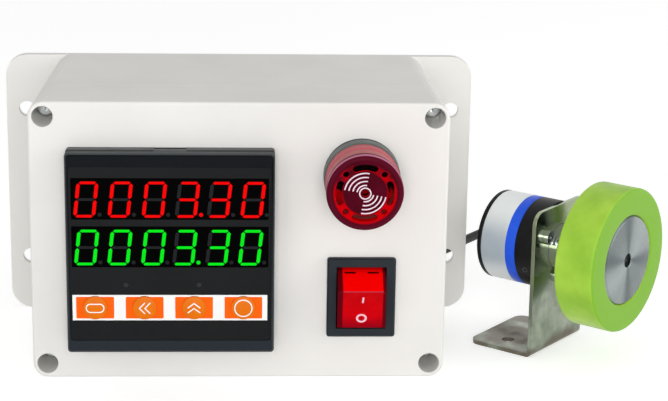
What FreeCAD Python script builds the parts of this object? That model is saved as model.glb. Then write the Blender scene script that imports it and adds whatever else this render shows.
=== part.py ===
import FreeCAD
import Part
import math
import os

# Cable length counter: a wall-ear enclosure with a counting meter, a sounder and a rocker
# switch, and a measuring wheel on an encoder that stands beside it on its own bracket.
# Millimetres. Origin at the middle of the enclosure's bottom face, +X right, +Y away from
# the reader, +Z up. The front of the enclosure faces -Y.

V = FreeCAD.Vector

# Enclosure
box_width = 145.8
box_height = 100.6
box_depth = 80.0
side_draft = 4.0
box_corner = 5.6
box_wall = 2.5
lid_depth = 25.5
lid_edge_radius = 0.9
seam_edge_radius = 0.3
ear_reach = 15.5
flange_thickness = 3.0
flange_corner = 8.3
ear_hole_radius = 2.95
ear_edge = 7.6
ear_rise = 58.6
seal_inset = 0.6
seal_width = 1.3
seal_depth = 0.9
post_radius = 5.1
post_length = 16.0
post_edge_x = 5.2
post_edge_z = 5.3
well_radius = 3.7
well_depth = 19.0
lid_screw_head_radius = 3.4
lid_screw_head_height = 2.6
lid_screw_radius = 1.9
lid_screw_length = 20.0
cross_slot_width = 0.9
cross_slot_depth = 1.2
hole_clearance = 0.05
panel_clearance = 0.3

# Counting meter
meter_share = -0.1632
meter_drop = 1.7
case_size = 67.4
case_corner = 2.0
case_depth = 55.0
case_wall = 1.8
bezel_lip = 2.3
bezel_corner = 1.2
bezel_proud = 9.35
bezel_bevel = 1.0
bezel_ledge = 1.7
bezel_joint_depth = 4.6
bezel_joint_width = 0.5
bezel_joint_cut = 0.5
latch_width = 11.2
latch_depth = 2.2
latch_cut = 0.6
face_side = 1.2
face_end = 4.7
face_thickness = 0.8
face_recess = 0.2
face_corner = 1.0
face_clearance = 0.1
window_side = 0.8
window_gap = 2.4
window_rise_shares = (0.3195, 0.0447)
window_corner = 0.3
window_recess = 0.1
display_side = 1.0
display_end = 0.4
display_gap = 0.1
board_thickness = 1.6
board_clearance = 0.3
board_set_forward = 0.65
key_row_share = 0.3083
key_pitch_share = 0.2464
key_row_shift = -0.45
key_radius = 4.15
key_clearance = 0.15
key_proud = 0.9
key_dome = 0.45
key_flange_lip = 0.75
key_flange_thickness = 1.0
key_flange_gap = 0.05
key_stem_radius = 2.0
key_travel = 0.5
key_stop_gap = 0.1
tact_size = 6.0
tact_height_share = 0.4
tact_plunger_radius = 1.7
tact_plunger_height = 1.0
lamp_radius = 0.8
lamp_drop_share = 0.1757
lamp_place_shares = (-0.2213, 0.1422)
main_board_drop = 15.0
main_board_gap = 1.9
transformer_width = 30.0
transformer_depth = 24.0
transformer_height = 22.0
relay_width = 15.0
relay_depth = 20.0
relay_height = 15.5
board_edge_shares = (0.2, 0.3)
inner_part_gap = 4.0
terminal_height = 10.0
terminal_depth = 9.0
terminal_pitch = 5.0
terminal_edge = 2.5
terminal_well_radius = 1.9
terminal_well_depth = 3.0
terminal_screw_height = 1.4
clamp_thickness = 2.4
clamp_height = 22.0
clamp_length = 26.0
clamp_foot_share = 0.626

# Sounder with lens
sounder_share = 0.2908
sounder_rise = 24.4
sounder_seal_thickness = 1.0
sounder_base_radius = 13.3
sounder_edge_radius = 0.4
sounder_base_depth = 5.2
sounder_floor = 1.5
barrel_step = 2.4
barrel_wall = 2.0
barrel_length = 24.0
barrel_end = 2.0
lens_step = 0.5
lens_wall = 1.2
lens_depth = 16.8
lens_band_proud = 0.25
lens_band_depth = 1.2
lens_band_place = 4.6
lens_rim_proud = 0.4
lens_rim_depth = 4.8
lens_edge_radius = 1.3
lens_face_thickness = 1.2
lens_skirt_depth = 2.0
lens_skirt_clearance = 0.1
sound_slot_inset = 2.7
sound_slot_width = 2.3
sound_slot_angle = 42.0
sound_hole_radius = 1.1
sound_hole_inset = 3.6
sound_centre_radius = 1.2
capsule_clearance = 0.3
capsule_depth = 11.0
lock_nut_wall = 2.6
lock_nut_depth = 4.5
pin_radius = 0.9
pin_length = 6.0
pin_spread = 5.0

# Rocker switch
rocker_share = 0.2949
rocker_drop = 19.9
rocker_frame_width = 24.2
rocker_frame_height = 29.2
rocker_frame_proud = 2.0
rocker_frame_corner = 1.0
rocker_frame_bevel = 0.6
rocker_side_rim = 3.3
rocker_end_rim = 3.2
rocker_side_lip = 1.5
rocker_end_lip = 1.1
rocker_body_depth = 20.0
rocker_floor = 6.0
rocker_tilt = 14.0
paddle_pivot_depth = 4.0
paddle_side_gap = 0.3
paddle_sweep_gap = 0.3
paddle_ridge_reach = 11.2
paddle_ridge_inset = 3.6
paddle_edge_radius = 0.3
paddle_shoulder_reach = 3.4
paddle_skirt = 3.0
paddle_hollow = 0.8
paddle_pin_radius = 1.3
paddle_pin_length = 1.3
blade_width = 6.3
blade_thickness = 0.8
blade_length = 9.0
blade_hole_radius = 0.8
blade_spread_x = 5.0
blade_spread_z = 7.5

# Cable entries in the back wall
gland_z = 22.0
gland_edge = 16.55
gland_pitch = 36.0
gland_thread_radius = 6.2
gland_inside = 6.0
gland_outside = 10.0
gland_bore_radius = 4.2
gland_hex = 16.5
gland_hex_depth = 4.5
gland_nut_depth = 4.0
gland_dome_radius = 8.0
gland_dome_depth = 11.0
gland_dome_gap = 0.1
gland_mouth_radius = 3.0
gland_seal_proud = 0.6

# Encoder and measuring wheel, along their own axis from the bracket's wheel-side face
encoder_x = 118.4
encoder_y = -7.0
encoder_turn = 39.0
axis_height = 39.0
plate_width = 36.0
plate_rise = 16.0
plate_thickness = 1.5
plate_corner = 5.0
foot_length = 27.0
foot_corner = 4.0
bend_radius = 2.0
foot_hole_radius = 2.25
foot_hole_reach = 15.0
foot_hole_spread = 19.0
body_radius = 16.6
turned_edge_radius = 0.25
cap_edge_radius = 0.5
front_body_depth = 8.2
ring_depth = 4.1
cover_depth = 10.4
cap_depth = 1.8
shell_wall = 1.8
spigot_depth = 1.5
boss_radius = 8.5
boss_reach = 3.5
boss_clearance = 0.1
bearing_radius = 5.5
bearing_depth = 4.0
bearing_relief_radius = 4.0
shaft_radius = 2.5
shaft_set_back = 2.0
shaft_end_gap = 1.2
shaft_fit = 0.03
flange_screw_gap = 0.25
flange_screw_radius = 1.45
flange_screw_head_radius = 2.75
flange_screw_head_height = 2.0
flange_screw_length = 7.0
code_disc_gap = 2.8
code_disc_thickness = 1.0
code_disc_set_back = 1.4
sensor_board_gap = 0.2
sensor_board_thickness = 1.2
sensor_board_set_back = 3.6
reader_width = 6.0
reader_depth = 3.0
reader_gap = 0.5
reader_inset = 3.0
grommet_inset = 3.2
grommet_radius = 3.3
grommet_tip_radius = 2.4
grommet_length = 7.0
grommet_neck_radius = 2.5
wheel_place = 13.0
wheel_width = 15.5
wheel_radius = 26.53
tyre_edge_radius = 1.2
hub_radius = 16.6
hub_bevel = 0.8
hub_boss_radius = 6.0
hub_boss_length = 4.5
hub_rim_wall = 3.1
hub_hollow_depth = 6.0
grub_radius = 1.5
grub_place = 2.2
grub_length = 3.2

# Encoder cable
cable_radius = 1.8
cable_lead = 3.6
encoder_lead_length = 14.0
run_end_length = 12.0
coil_x = 24.7
coil_y = 100.0
coil_inner_radius = 15.8
coil_turn_gap = 0.5
coil_layers = 4
coil_turns = 9.75
coil_start_angle = -90.0
tie_thickness = 0.8
tie_width = 3.0
tie_gap = 0.05
tie_head = 5.0
tie_head_thickness = 3.6
inner_lead_run = 32.2
inner_lead_clearance = 1.6
cable_drape = [
    (127.6, 53.3, 35.0),
    (117.0, 69.0, 27.6),
    (99.1, 75.5, 19.2),
    (80.0, 74.6, 9.6),
    (61.4, 72.6, 2.1),
]
inner_drape = [
    (46.0, 9.0, 26.0),
    (34.0, 5.0, 31.0),
]

# One overrun for every cut
overrun = 1.0

# Sizes and places that several pieces share
front = -box_depth / 2
back = box_depth / 2
seam = front + lid_depth
panel_back = front + box_wall
wall_front = back - flange_thickness
middle_z = box_height / 2
flange_width = box_width + 2 * ear_reach
meter_x = meter_share * box_width
meter_z = middle_z - meter_drop
bezel_size = case_size + 2 * bezel_lip
bezel_front = front - bezel_proud
face_width = bezel_size - 2 * face_side
face_height = bezel_size - 2 * face_end
face_front = bezel_front + face_recess
face_back = face_front + face_thickness
window_width = face_width - 2 * window_side
upper_window_rise, lower_window_rise = [share * face_height for share in window_rise_shares]
window_height = upper_window_rise - lower_window_rise - window_gap
display_width = window_width - 2 * display_side
display_height = window_height - 2 * display_end
meter_board_back = front - board_set_forward
display_front = face_back + display_gap
display_back = meter_board_back - board_thickness
tact_height = tact_height_share * (display_back - display_front)
key_row_z = meter_z - key_row_share * face_height
key_pitch = key_pitch_share * face_width
lamp_z = meter_z - lamp_drop_share * face_height
lamp_places = [meter_x + share * face_width for share in lamp_place_shares]
case_back = front + case_depth
main_board_width = case_size - 2 * case_wall - 2 * main_board_gap
sounder_x = sounder_share * box_width
sounder_z = middle_z + sounder_rise
barrel_radius = sounder_base_radius - barrel_step
rocker_x = rocker_share * box_width
rocker_z = middle_z - rocker_drop
rocker_opening_width = rocker_frame_width - 2 * rocker_side_rim
rocker_opening_height = rocker_frame_height - 2 * rocker_end_rim
rocker_body_width = rocker_frame_width - 2 * rocker_side_lip
rocker_body_height = rocker_frame_height - 2 * rocker_end_lip
cable_exit_reach = body_radius + grommet_length
coil_step = 2 * cable_radius + coil_turn_gap
coil_floor = tie_thickness + tie_gap + cable_radius
layer_turns = (coil_turns - (coil_layers - 1) / 2) / coil_layers

os.makedirs("parts", exist_ok=True)


def save(name, shape):
    """Writes one node and reports a shape that isn't sound."""
    if not shape.isValid():
        print("not valid:", name)
    shape.exportStep("parts/" + name + ".step")


def fused(shapes):
    """One solid from shapes that meet."""
    whole = shapes[0].fuse(shapes[1:])
    return whole.removeSplitter()


# Outlines and bodies that face along Y


def rounded_wire(width, height, radius, x, y, z):
    """Rounded rectangle in the plane at depth y, centred on x and z."""
    edges = []
    ends = []
    for side, level, first in ((1, -1, -90), (1, 1, 0), (-1, 1, 90), (-1, -1, 180)):
        centre = V(x + side * (width / 2 - radius), y, z + level * (height / 2 - radius))
        turned = [math.radians(first + part) for part in (0, 45, 90)]
        arc = [centre + V(radius * math.cos(a), 0, radius * math.sin(a)) for a in turned]
        if ends:
            edges.append(Part.LineSegment(ends[-1], arc[0]).toShape())
        else:
            first_point = arc[0]
        edges.append(Part.Arc(arc[0], arc[1], arc[2]).toShape())
        ends.append(arc[2])
    edges.append(Part.LineSegment(ends[-1], first_point).toShape())
    return Part.Wire(edges)


def slab_y(width, height, radius, x, z, y0, y1):
    """Rounded rectangular block from depth y0 to y1."""
    return Part.Face(rounded_wire(width, height, radius, x, y0, z)).extrude(V(0, y1 - y0, 0))


def bevelled_slab_y(width, height, radius, bevel, x, z, y0, y1):
    """Rounded block whose front edge, at y0, is bevelled."""
    small = rounded_wire(width - 2 * bevel, height - 2 * bevel, radius, x, y0, z)
    large = rounded_wire(width, height, radius, x, y0 + bevel, z)
    edge = Part.makeLoft([small, large], True, True)
    return fused([edge, slab_y(width, height, radius, x, z, y0 + bevel, y1)])


def disc_y(radius, x, z, y0, y1):
    """Round bar along Y."""
    return Part.makeCylinder(radius, y1 - y0, V(x, y0, z), V(0, 1, 0))


def ring_y(outer, inner, x, z, y0, y1):
    """Round tube along Y."""
    return disc_y(outer, x, z, y0, y1).cut(disc_y(inner, x, z, y0 - overrun, y1 + overrun))


def hexagon_y(across, x, z, y0, y1):
    """Hexagonal bar along Y, measured across its flats."""
    reach = across / 2 / math.cos(math.radians(30))
    corners = []
    for step in range(7):
        angle = math.radians(60 * step)
        corners.append(V(x + reach * math.cos(angle), y0, z + reach * math.sin(angle)))
    return Part.Face(Part.makePolygon(corners)).extrude(V(0, y1 - y0, 0))


def box_at(x0, x1, y0, y1, z0, z1):
    """Plain block between two corners."""
    return Part.makeBox(x1 - x0, y1 - y0, z1 - z0, V(x0, y0, z0))


def aimed(shape, direction, place):
    """Turns a shape built along +Z so that it points in a direction, and sets its place."""
    shape.Placement = FreeCAD.Placement(place, FreeCAD.Rotation(V(0, 0, 1), direction))
    return shape


def eased(shape, reach, radius):
    """Rounds the circular edges of one reach on a turned piece that lies along X or Y."""
    rims = []
    for edge in shape.Edges:
        box = edge.BoundBox
        if min(box.XLength, box.YLength) < hole_clearance and abs(box.ZLength / 2 - reach) < hole_clearance:
            rims.append(edge)
    return shape.makeFillet(radius, rims)


def pan_screw(head_radius, head_height, shank_radius, length):
    """Cross-slotted screw along Z: its seat at zero, its head above and its shank below."""
    head = Part.makeCylinder(head_radius, head_height)
    shank = Part.makeCylinder(shank_radius, length, V(0, 0, -length))
    screw = fused([head, shank])
    reach = head_radius / 2
    half = cross_slot_width / 2
    low = head_height - cross_slot_depth
    high = head_height + overrun
    slots = [box_at(-reach, reach, -half, half, low, high), box_at(-half, half, -reach, reach, low, high)]
    return screw.cut(slots)


# Enclosure


def half_width(y):
    """Half the enclosure's width at a depth: its sides draw in towards the back."""
    return box_width / 2 - side_draft * (y - front) / box_depth


encoder_gland_x = half_width(wall_front) - box_wall - gland_edge
power_gland_x = encoder_gland_x - gland_pitch


def shell_block(inset, y0, y1):
    """Tapered block with the enclosure's outline, drawn in by an inset, and four round long edges."""
    near = half_width(y0) - inset
    far = half_width(y1) - inset
    corners = [V(-near, y0, inset), V(near, y0, inset), V(far, y1, inset), V(-far, y1, inset)]
    outline = Part.Face(Part.makePolygon(corners + corners[:1]))
    block = outline.extrude(V(0, 0, box_height - 2 * inset))
    level = [edge for edge in block.Edges if edge.BoundBox.ZLength < hole_clearance]
    long_edges = [edge for edge in level if edge.BoundBox.YLength > hole_clearance]
    return block.makeFillet(box_corner - inset, long_edges).Solids[0]


def rounded_end(shape, y, radius):
    """Rounds the edges of a block that lie at one depth."""
    ends = [edge for edge in shape.Edges
            if abs(edge.BoundBox.YMin - y) < hole_clearance and edge.BoundBox.YLength < hole_clearance]
    return shape.makeFillet(radius, ends).Solids[0]


def post_places():
    """Places of the four cover screws, on X and Z."""
    reach = box_width / 2 - post_edge_x
    return [(side * reach, z) for side in (-1, 1) for z in (post_edge_z, box_height - post_edge_z)]


def ear_places():
    """Places of the four wall holes, on X and Z."""
    reach = flange_width / 2 - ear_edge
    levels = (middle_z - ear_rise / 2, middle_z + ear_rise / 2)
    return [(side * reach, z) for side in (-1, 1) for z in levels]


def seal_ring():
    """Sealing cord that follows the enclosure's rim."""
    outer = shell_block(seal_inset, seam, seam + seal_depth)
    return outer.cut(shell_block(seal_inset + seal_width, seam - overrun, seam + seal_depth + overrun))


def screw_posts(y0, y1):
    """Posts for the cover's screws, which end inside the walls they grow from."""
    core = shell_block(box_wall / 2, y0, y1)
    return [disc_y(post_radius, x, z, y0, y1).common(core) for x, z in post_places()]


def enclosure_base():
    """Deep back half with its mounting flange, screw posts, seal groove and cable holes."""
    outer = rounded_end(shell_block(0, seam, wall_front), seam, seam_edge_radius)
    hollow = shell_block(box_wall, seam - overrun, wall_front)
    flange = slab_y(flange_width, box_height, flange_corner, 0, middle_z, wall_front, back)
    shell = fused([outer, flange]).cut(hollow)
    base = fused([shell] + screw_posts(seam, seam + post_length))
    cuts = [seal_ring()]
    for x, z in post_places():
        cuts.append(disc_y(lid_screw_radius + hole_clearance, x, z, seam - overrun, seam + post_length))
    for x, z in ear_places():
        cuts.append(disc_y(ear_hole_radius, x, z, wall_front - overrun, back + overrun))
    for x in (encoder_gland_x, power_gland_x):
        radius = gland_thread_radius + hole_clearance
        cuts.append(disc_y(radius, x, gland_z, wall_front - overrun, back + overrun))
    return base.cut(cuts)


def enclosure_lid():
    """Front half with its deep screw wells and the openings for the panel parts."""
    outer = rounded_end(shell_block(0, front, seam), front, lid_edge_radius)
    outer = rounded_end(outer, seam, seam_edge_radius)
    hollow = shell_block(box_wall, panel_back, seam + overrun)
    lid = fused([outer.cut(hollow)] + screw_posts((front + panel_back) / 2, seam))
    cuts = []
    for x, z in post_places():
        cuts.append(disc_y(well_radius, x, z, front - overrun, front + well_depth))
        cuts.append(disc_y(lid_screw_radius + hole_clearance, x, z, front, seam + overrun))
    before = front - overrun
    behind = panel_back + overrun
    opening = case_size + 2 * panel_clearance
    cuts.append(slab_y(opening, opening, case_corner, meter_x, meter_z, before, behind))
    cuts.append(disc_y(barrel_radius + panel_clearance, sounder_x, sounder_z, before, behind))
    width = rocker_body_width + 2 * panel_clearance
    height = rocker_body_height + 2 * panel_clearance
    cuts.append(slab_y(width, height, rocker_frame_corner, rocker_x, rocker_z, before, behind))
    return lid.cut(cuts)


def lid_screws():
    """Four screws at the bottom of the cover's wells."""
    screws = []
    for x, z in post_places():
        screw = pan_screw(lid_screw_head_radius, lid_screw_head_height, lid_screw_radius, lid_screw_length)
        screws.append(aimed(screw, V(0, -1, 0), V(x, front + well_depth, z)))
    return Part.makeCompound(screws)


save("enclosure_base", enclosure_base())
save("enclosure_lid", enclosure_lid())
save("lid_seal", seal_ring())
save("lid_screws", lid_screws())


# Counting meter


def counter_bezel():
    """Square front frame with a bevelled edge, a parting groove, a latch notch and a face pocket."""
    frame = bevelled_slab_y(
        bezel_size, bezel_size, bezel_corner, bezel_bevel, meter_x, meter_z, bezel_front, front)
    width = face_width + 2 * face_clearance
    height = face_height + 2 * face_clearance
    pocket = slab_y(width, height, face_corner, meter_x, meter_z, bezel_front - overrun, face_back)
    wide = face_width - 2 * bezel_ledge
    high = face_height - 2 * bezel_ledge
    well = slab_y(wide, high, face_corner, meter_x, meter_z, bezel_front, front + overrun)
    groove_front = bezel_front + bezel_joint_depth
    groove_back = groove_front + bezel_joint_width
    over = bezel_size + 2 * overrun
    under = bezel_size - 2 * bezel_joint_cut
    groove = slab_y(over, over, bezel_corner, meter_x, meter_z, groove_front, groove_back)
    groove = groove.cut(slab_y(under, under, bezel_corner, meter_x, meter_z, groove_front, groove_back))
    top = meter_z + bezel_size / 2
    notch = box_at(meter_x - latch_width / 2, meter_x + latch_width / 2,
                   front - latch_depth, front + overrun, top - latch_cut, top + overrun)
    return frame.cut([pocket, well, groove, notch])


def key_places():
    """Sideways places of the four keys."""
    middle = meter_x + key_row_shift
    return [middle + key_pitch * (step - 1.5) for step in range(4)]


def counter_face():
    """Face plate with two windows, four key holes and two lamp holes."""
    plate = slab_y(face_width, face_height, face_corner, meter_x, meter_z, face_front, face_back)
    cuts = []
    for rise in (upper_window_rise, lower_window_rise):
        cuts.append(slab_y(window_width, window_height, window_corner, meter_x, meter_z + rise,
                           face_front - overrun, face_back + overrun))
    for x in key_places():
        cuts.append(disc_y(key_radius + key_clearance, x, key_row_z,
                           face_front - overrun, face_back + overrun))
    for x in lamp_places:
        radius = lamp_radius + hole_clearance
        cuts.append(disc_y(radius, x, lamp_z, face_front - overrun, face_back + overrun))
    return plate.cut(cuts)


def display_window(rise):
    """Smoked filter let into the face plate."""
    width = window_width - 2 * face_clearance
    height = window_height - 2 * face_clearance
    return slab_y(width, height, window_corner, meter_x, meter_z + rise,
                  face_front + window_recess, face_back)


def display_module(rise):
    """Block of six digits behind a window."""
    return slab_y(display_width, display_height, window_corner, meter_x, meter_z + rise,
                  display_front, display_back)


def counter_key(x):
    """Domed key with a flange behind the face plate and a stem."""
    z = key_row_z
    flange_front = face_back + key_flange_gap
    flange_back = flange_front + key_flange_thickness
    crown = face_front - key_proud
    rim = crown + key_dome
    ball = (key_radius ** 2 + key_dome ** 2) / (2 * key_dome)
    dome = Part.makeSphere(ball, V(x, crown + ball, z)).common(disc_y(key_radius, x, z, crown, rim))
    stem_end = display_back - tact_height - tact_plunger_height - key_travel - key_stop_gap
    pieces = [
        dome,
        disc_y(key_radius, x, z, rim, flange_front),
        disc_y(key_radius + key_flange_lip, x, z, flange_front, flange_back),
        disc_y(key_stem_radius, x, z, flange_back, stem_end),
    ]
    return fused(pieces)


def key_switches():
    """Four small push switches on the display board, one behind each key."""
    switches = []
    z = key_row_z
    half = tact_size / 2
    top = display_back - tact_height
    for x in key_places():
        body = box_at(x - half, x + half, top, display_back, z - half, z + half)
        plunger = disc_y(tact_plunger_radius, x, z, top - tact_plunger_height, top)
        switches.append(fused([body, plunger]))
    return Part.makeCompound(switches)


def indicator_lamps():
    """Two small lamps on the display board that look out through the face plate."""
    lamps = []
    for x in lamp_places:
        lamps.append(disc_y(lamp_radius, x, lamp_z, face_front, display_back))
    return Part.makeCompound(lamps)


def display_board():
    """Circuit board that carries the digits, the lamps and the push switches."""
    width = face_width - 2 * bezel_ledge - 2 * board_clearance
    height = face_height - 2 * bezel_ledge - 2 * board_clearance
    return slab_y(width, height, face_corner, meter_x, meter_z, display_back, meter_board_back)


def terminal_block_box(grow):
    """Space of the terminal block, grown on every side."""
    low = meter_z - main_board_drop
    half = main_board_width / 2 + grow
    return box_at(meter_x - half, meter_x + half,
                  case_back - case_wall - grow, case_back - case_wall + terminal_depth,
                  low - grow, low + terminal_height + grow)


def counter_case():
    """Square case behind the bezel, open in front, with an opening for the terminals."""
    outer = slab_y(case_size, case_size, case_corner, meter_x, meter_z, front, case_back)
    inner = case_size - 2 * case_wall
    hollow = slab_y(inner, inner, case_corner, meter_x, meter_z, front - overrun, case_back - case_wall)
    return outer.cut([hollow, terminal_block_box(hole_clearance)])


def main_board():
    """Level circuit board from the display board to the back of the case."""
    low = meter_z - main_board_drop - board_thickness
    half = main_board_width / 2
    return box_at(meter_x - half, meter_x + half, meter_board_back, case_back - case_wall,
                  low, low + board_thickness)


def board_part(side, edge_share, width, depth, height):
    """Block that stands on the main board, beside its edge on one side."""
    spare = main_board_width - transformer_width - relay_width
    x = meter_x + side * (main_board_width / 2 - edge_share * spare - width / 2)
    y = meter_board_back + inner_part_gap
    low = meter_z - main_board_drop
    return box_at(x - width / 2, x + width / 2, y, y + depth, low, low + height)


def terminal_places():
    """Sideways places of the screw terminals."""
    span = main_board_width - 2 * terminal_edge
    steps = round(span / terminal_pitch)
    return [meter_x - span / 2 + span / steps * i for i in range(steps + 1)]


def terminal_block():
    """Row of screw terminals at the back of the meter."""
    block = terminal_block_box(0)
    back_face = case_back - case_wall + terminal_depth
    z = meter_z - main_board_drop + terminal_height / 2
    wells = []
    for x in terminal_places():
        wells.append(disc_y(terminal_well_radius, x, z,
                            back_face - terminal_well_depth, back_face + overrun))
    return block.cut(wells)


def terminal_screws():
    """Slotted screw in each terminal's well."""
    floor = case_back - case_wall + terminal_depth - terminal_well_depth
    z = meter_z - main_board_drop + terminal_height / 2
    radius = terminal_well_radius - hole_clearance
    screws = []
    for x in terminal_places():
        screw = disc_y(radius, x, z, floor, floor + terminal_screw_height)
        top = floor + terminal_screw_height
        slot = box_at(x - radius - overrun, x + radius + overrun, top - cross_slot_width / 2, top + overrun,
                      z - cross_slot_width / 2, z + cross_slot_width / 2)
        screws.append(screw.cut(slot))
    return Part.makeCompound(screws)


def counter_clamps():
    """Two clamps that hold the meter's case against the back of the panel."""
    clamps = []
    room = half_width(panel_back) - box_wall - abs(meter_x) - case_size / 2
    low = meter_z - clamp_height / 2
    high = meter_z + clamp_height / 2
    for side in (-1, 1):
        near = meter_x + side * case_size / 2
        far = near + side * clamp_thickness
        foot = near + side * clamp_foot_share * room
        strip = box_at(min(near, far), max(near, far), panel_back, panel_back + clamp_length, low, high)
        pad = box_at(min(near, foot), max(near, foot), panel_back, panel_back + clamp_thickness, low, high)
        clamps.append(fused([strip, pad]))
    return Part.makeCompound(clamps)


save("counter_bezel", counter_bezel())
save("counter_face", counter_face())
save("upper_window", display_window(upper_window_rise))
save("lower_window", display_window(lower_window_rise))
save("upper_display", display_module(upper_window_rise))
save("lower_display", display_module(lower_window_rise))
save("display_board", display_board())
save("key_switches", key_switches())
save("indicator_lamps", indicator_lamps())
for key_name, key_x in zip(("set_key", "shift_key", "up_key", "reset_key"), key_places()):
    save(key_name, counter_key(key_x))
save("counter_case", counter_case())
save("main_board", main_board())
save("power_transformer", board_part(
    -1, board_edge_shares[0], transformer_width, transformer_depth, transformer_height))
save("output_relay", board_part(1, board_edge_shares[1], relay_width, relay_depth, relay_height))
save("terminal_block", terminal_block())
save("terminal_screws", terminal_screws())
save("counter_clamps", counter_clamps())


# Sounder

sounder_base_back = front - sounder_seal_thickness
sounder_base_front = sounder_base_back - sounder_base_depth
lens_front = sounder_base_front - lens_depth
barrel_back = sounder_base_back + barrel_length
lens_radius = sounder_base_radius - lens_step
lens_inner_radius = lens_radius - lens_wall
lens_rim_radius = lens_radius + lens_rim_proud
sound_slot_outer = lens_radius - sound_slot_inset


def sounder_body():
    """Base ring in front of the panel with the threaded barrel that passes through it."""
    base = disc_y(sounder_base_radius, sounder_x, sounder_z, sounder_base_front, sounder_base_back)
    base = eased(base, sounder_base_radius, sounder_edge_radius)
    barrel = disc_y(barrel_radius, sounder_x, sounder_z, sounder_base_back, barrel_back)
    floor = sounder_base_back - sounder_floor
    cup = disc_y(lens_inner_radius, sounder_x, sounder_z, sounder_base_front - overrun, floor)
    inner = barrel_radius - barrel_wall
    bore = disc_y(inner, sounder_x, sounder_z, sounder_base_back, barrel_back - barrel_end)
    return fused([base, barrel]).cut([cup, bore])


def sound_slot(middle):
    """Curved sound opening with round ends, about one direction in degrees."""
    y0 = lens_front - overrun
    y1 = lens_front + lens_face_thickness + overrun
    inner = sound_slot_outer - sound_slot_width
    ring = ring_y(sound_slot_outer, inner, sounder_x, sounder_z, y0, y1)
    wedge = []
    ends = []
    for edge in (-sound_slot_angle / 2, sound_slot_angle / 2):
        angle = math.radians(middle + edge)
        reach = 2 * sound_slot_outer
        wedge.append(V(sounder_x + reach * math.cos(angle), y0, sounder_z + reach * math.sin(angle)))
        reach = (sound_slot_outer + inner) / 2
        x = sounder_x + reach * math.cos(angle)
        z = sounder_z + reach * math.sin(angle)
        ends.append(disc_y(sound_slot_width / 2, x, z, y0, y1))
    corners = [V(sounder_x, y0, sounder_z), wedge[0], wedge[1], V(sounder_x, y0, sounder_z)]
    arc = ring.common(Part.Face(Part.makePolygon(corners)).extrude(V(0, y1 - y0, 0)))
    return fused([arc] + ends)


def sounder_lens():
    """Red stepped cap with a rounded rim and the sound openings in its face."""
    band_back = sounder_base_front - lens_band_place
    rim = disc_y(lens_rim_radius, sounder_x, sounder_z, lens_front, lens_front + lens_rim_depth)
    tube = fused([
        disc_y(lens_radius, sounder_x, sounder_z, lens_front + lens_edge_radius, sounder_base_front),
        disc_y(lens_radius + lens_band_proud, sounder_x, sounder_z, band_back - lens_band_depth, band_back),
        eased(rim, lens_rim_radius, lens_edge_radius),
    ])
    skirt = disc_y(lens_inner_radius - lens_skirt_clearance, sounder_x, sounder_z,
                   sounder_base_front - overrun, sounder_base_front + lens_skirt_depth)
    face_back_y = lens_front + lens_face_thickness
    cuts = [
        disc_y(lens_inner_radius - lens_wall, sounder_x, sounder_z, face_back_y,
               sounder_base_front + lens_skirt_depth + overrun),
        disc_y(sound_centre_radius, sounder_x, sounder_z, lens_front - overrun, face_back_y + overrun),
    ]
    for step in range(4):
        cuts.append(sound_slot(90 * step))
        angle = math.radians(45 + 90 * step)
        x = sounder_x + (lens_radius - sound_hole_inset) * math.cos(angle)
        z = sounder_z + (lens_radius - sound_hole_inset) * math.sin(angle)
        cuts.append(disc_y(sound_hole_radius, x, z, lens_front - overrun, face_back_y + overrun))
    return fused([tube, skirt]).cut(cuts)


def sounder_capsule():
    """Round sounder that sits on the floor of the cup, inside the lens."""
    floor = sounder_base_back - sounder_floor
    wide = lens_inner_radius - lens_wall - hole_clearance
    skirt_back = sounder_base_front + lens_skirt_depth
    low = disc_y(lens_inner_radius - capsule_clearance, sounder_x, sounder_z,
                 skirt_back + hole_clearance, floor)
    return fused([low, disc_y(wide, sounder_x, sounder_z, floor - capsule_depth, floor)])


def sounder_nut():
    """Hexagonal nut on the barrel behind the panel."""
    nut_back = panel_back + lock_nut_depth
    nut = hexagon_y(2 * (barrel_radius + lock_nut_wall), sounder_x, sounder_z, panel_back, nut_back)
    return nut.cut(disc_y(barrel_radius, sounder_x, sounder_z, panel_back - overrun, nut_back + overrun))


def sounder_pins():
    """Two connection pins at the back of the barrel."""
    pins = []
    for side in (-1, 1):
        x = sounder_x + side * pin_spread
        pins.append(disc_y(pin_radius, x, sounder_z, barrel_back, barrel_back + pin_length))
    return Part.makeCompound(pins)


save("sounder_body", sounder_body())
save("sounder_lens", sounder_lens())
save("sounder_capsule", sounder_capsule())
save("sounder_seal", ring_y(
    sounder_base_radius, barrel_radius, sounder_x, sounder_z, sounder_base_back, front))
save("sounder_nut", sounder_nut())
save("sounder_pins", sounder_pins())


# Rocker switch

rocker_front = front - rocker_frame_proud
pivot_y = front + paddle_pivot_depth
rocker_floor_y = front + rocker_body_depth - rocker_floor
rocker_back = front + rocker_body_depth


def rocker_frame():
    """Switch housing with its front frame, open in front for the paddle."""
    frame = bevelled_slab_y(rocker_frame_width, rocker_frame_height, rocker_frame_corner, rocker_frame_bevel,
                            rocker_x, rocker_z, rocker_front, front)
    body = slab_y(rocker_body_width, rocker_body_height, rocker_frame_corner,
                  rocker_x, rocker_z, front, rocker_back)
    half_w = rocker_opening_width / 2
    half_h = rocker_opening_height / 2
    opening = box_at(rocker_x - half_w, rocker_x + half_w, rocker_front - overrun, rocker_floor_y,
                     rocker_z - half_h, rocker_z + half_h)
    reach = rocker_opening_width / 2 + paddle_pin_length
    socket = Part.makeCylinder(paddle_pin_radius + hole_clearance, 2 * reach,
                               V(rocker_x - reach, pivot_y, rocker_z), V(1, 0, 0))
    return fused([frame, body]).cut([opening, socket])


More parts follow.
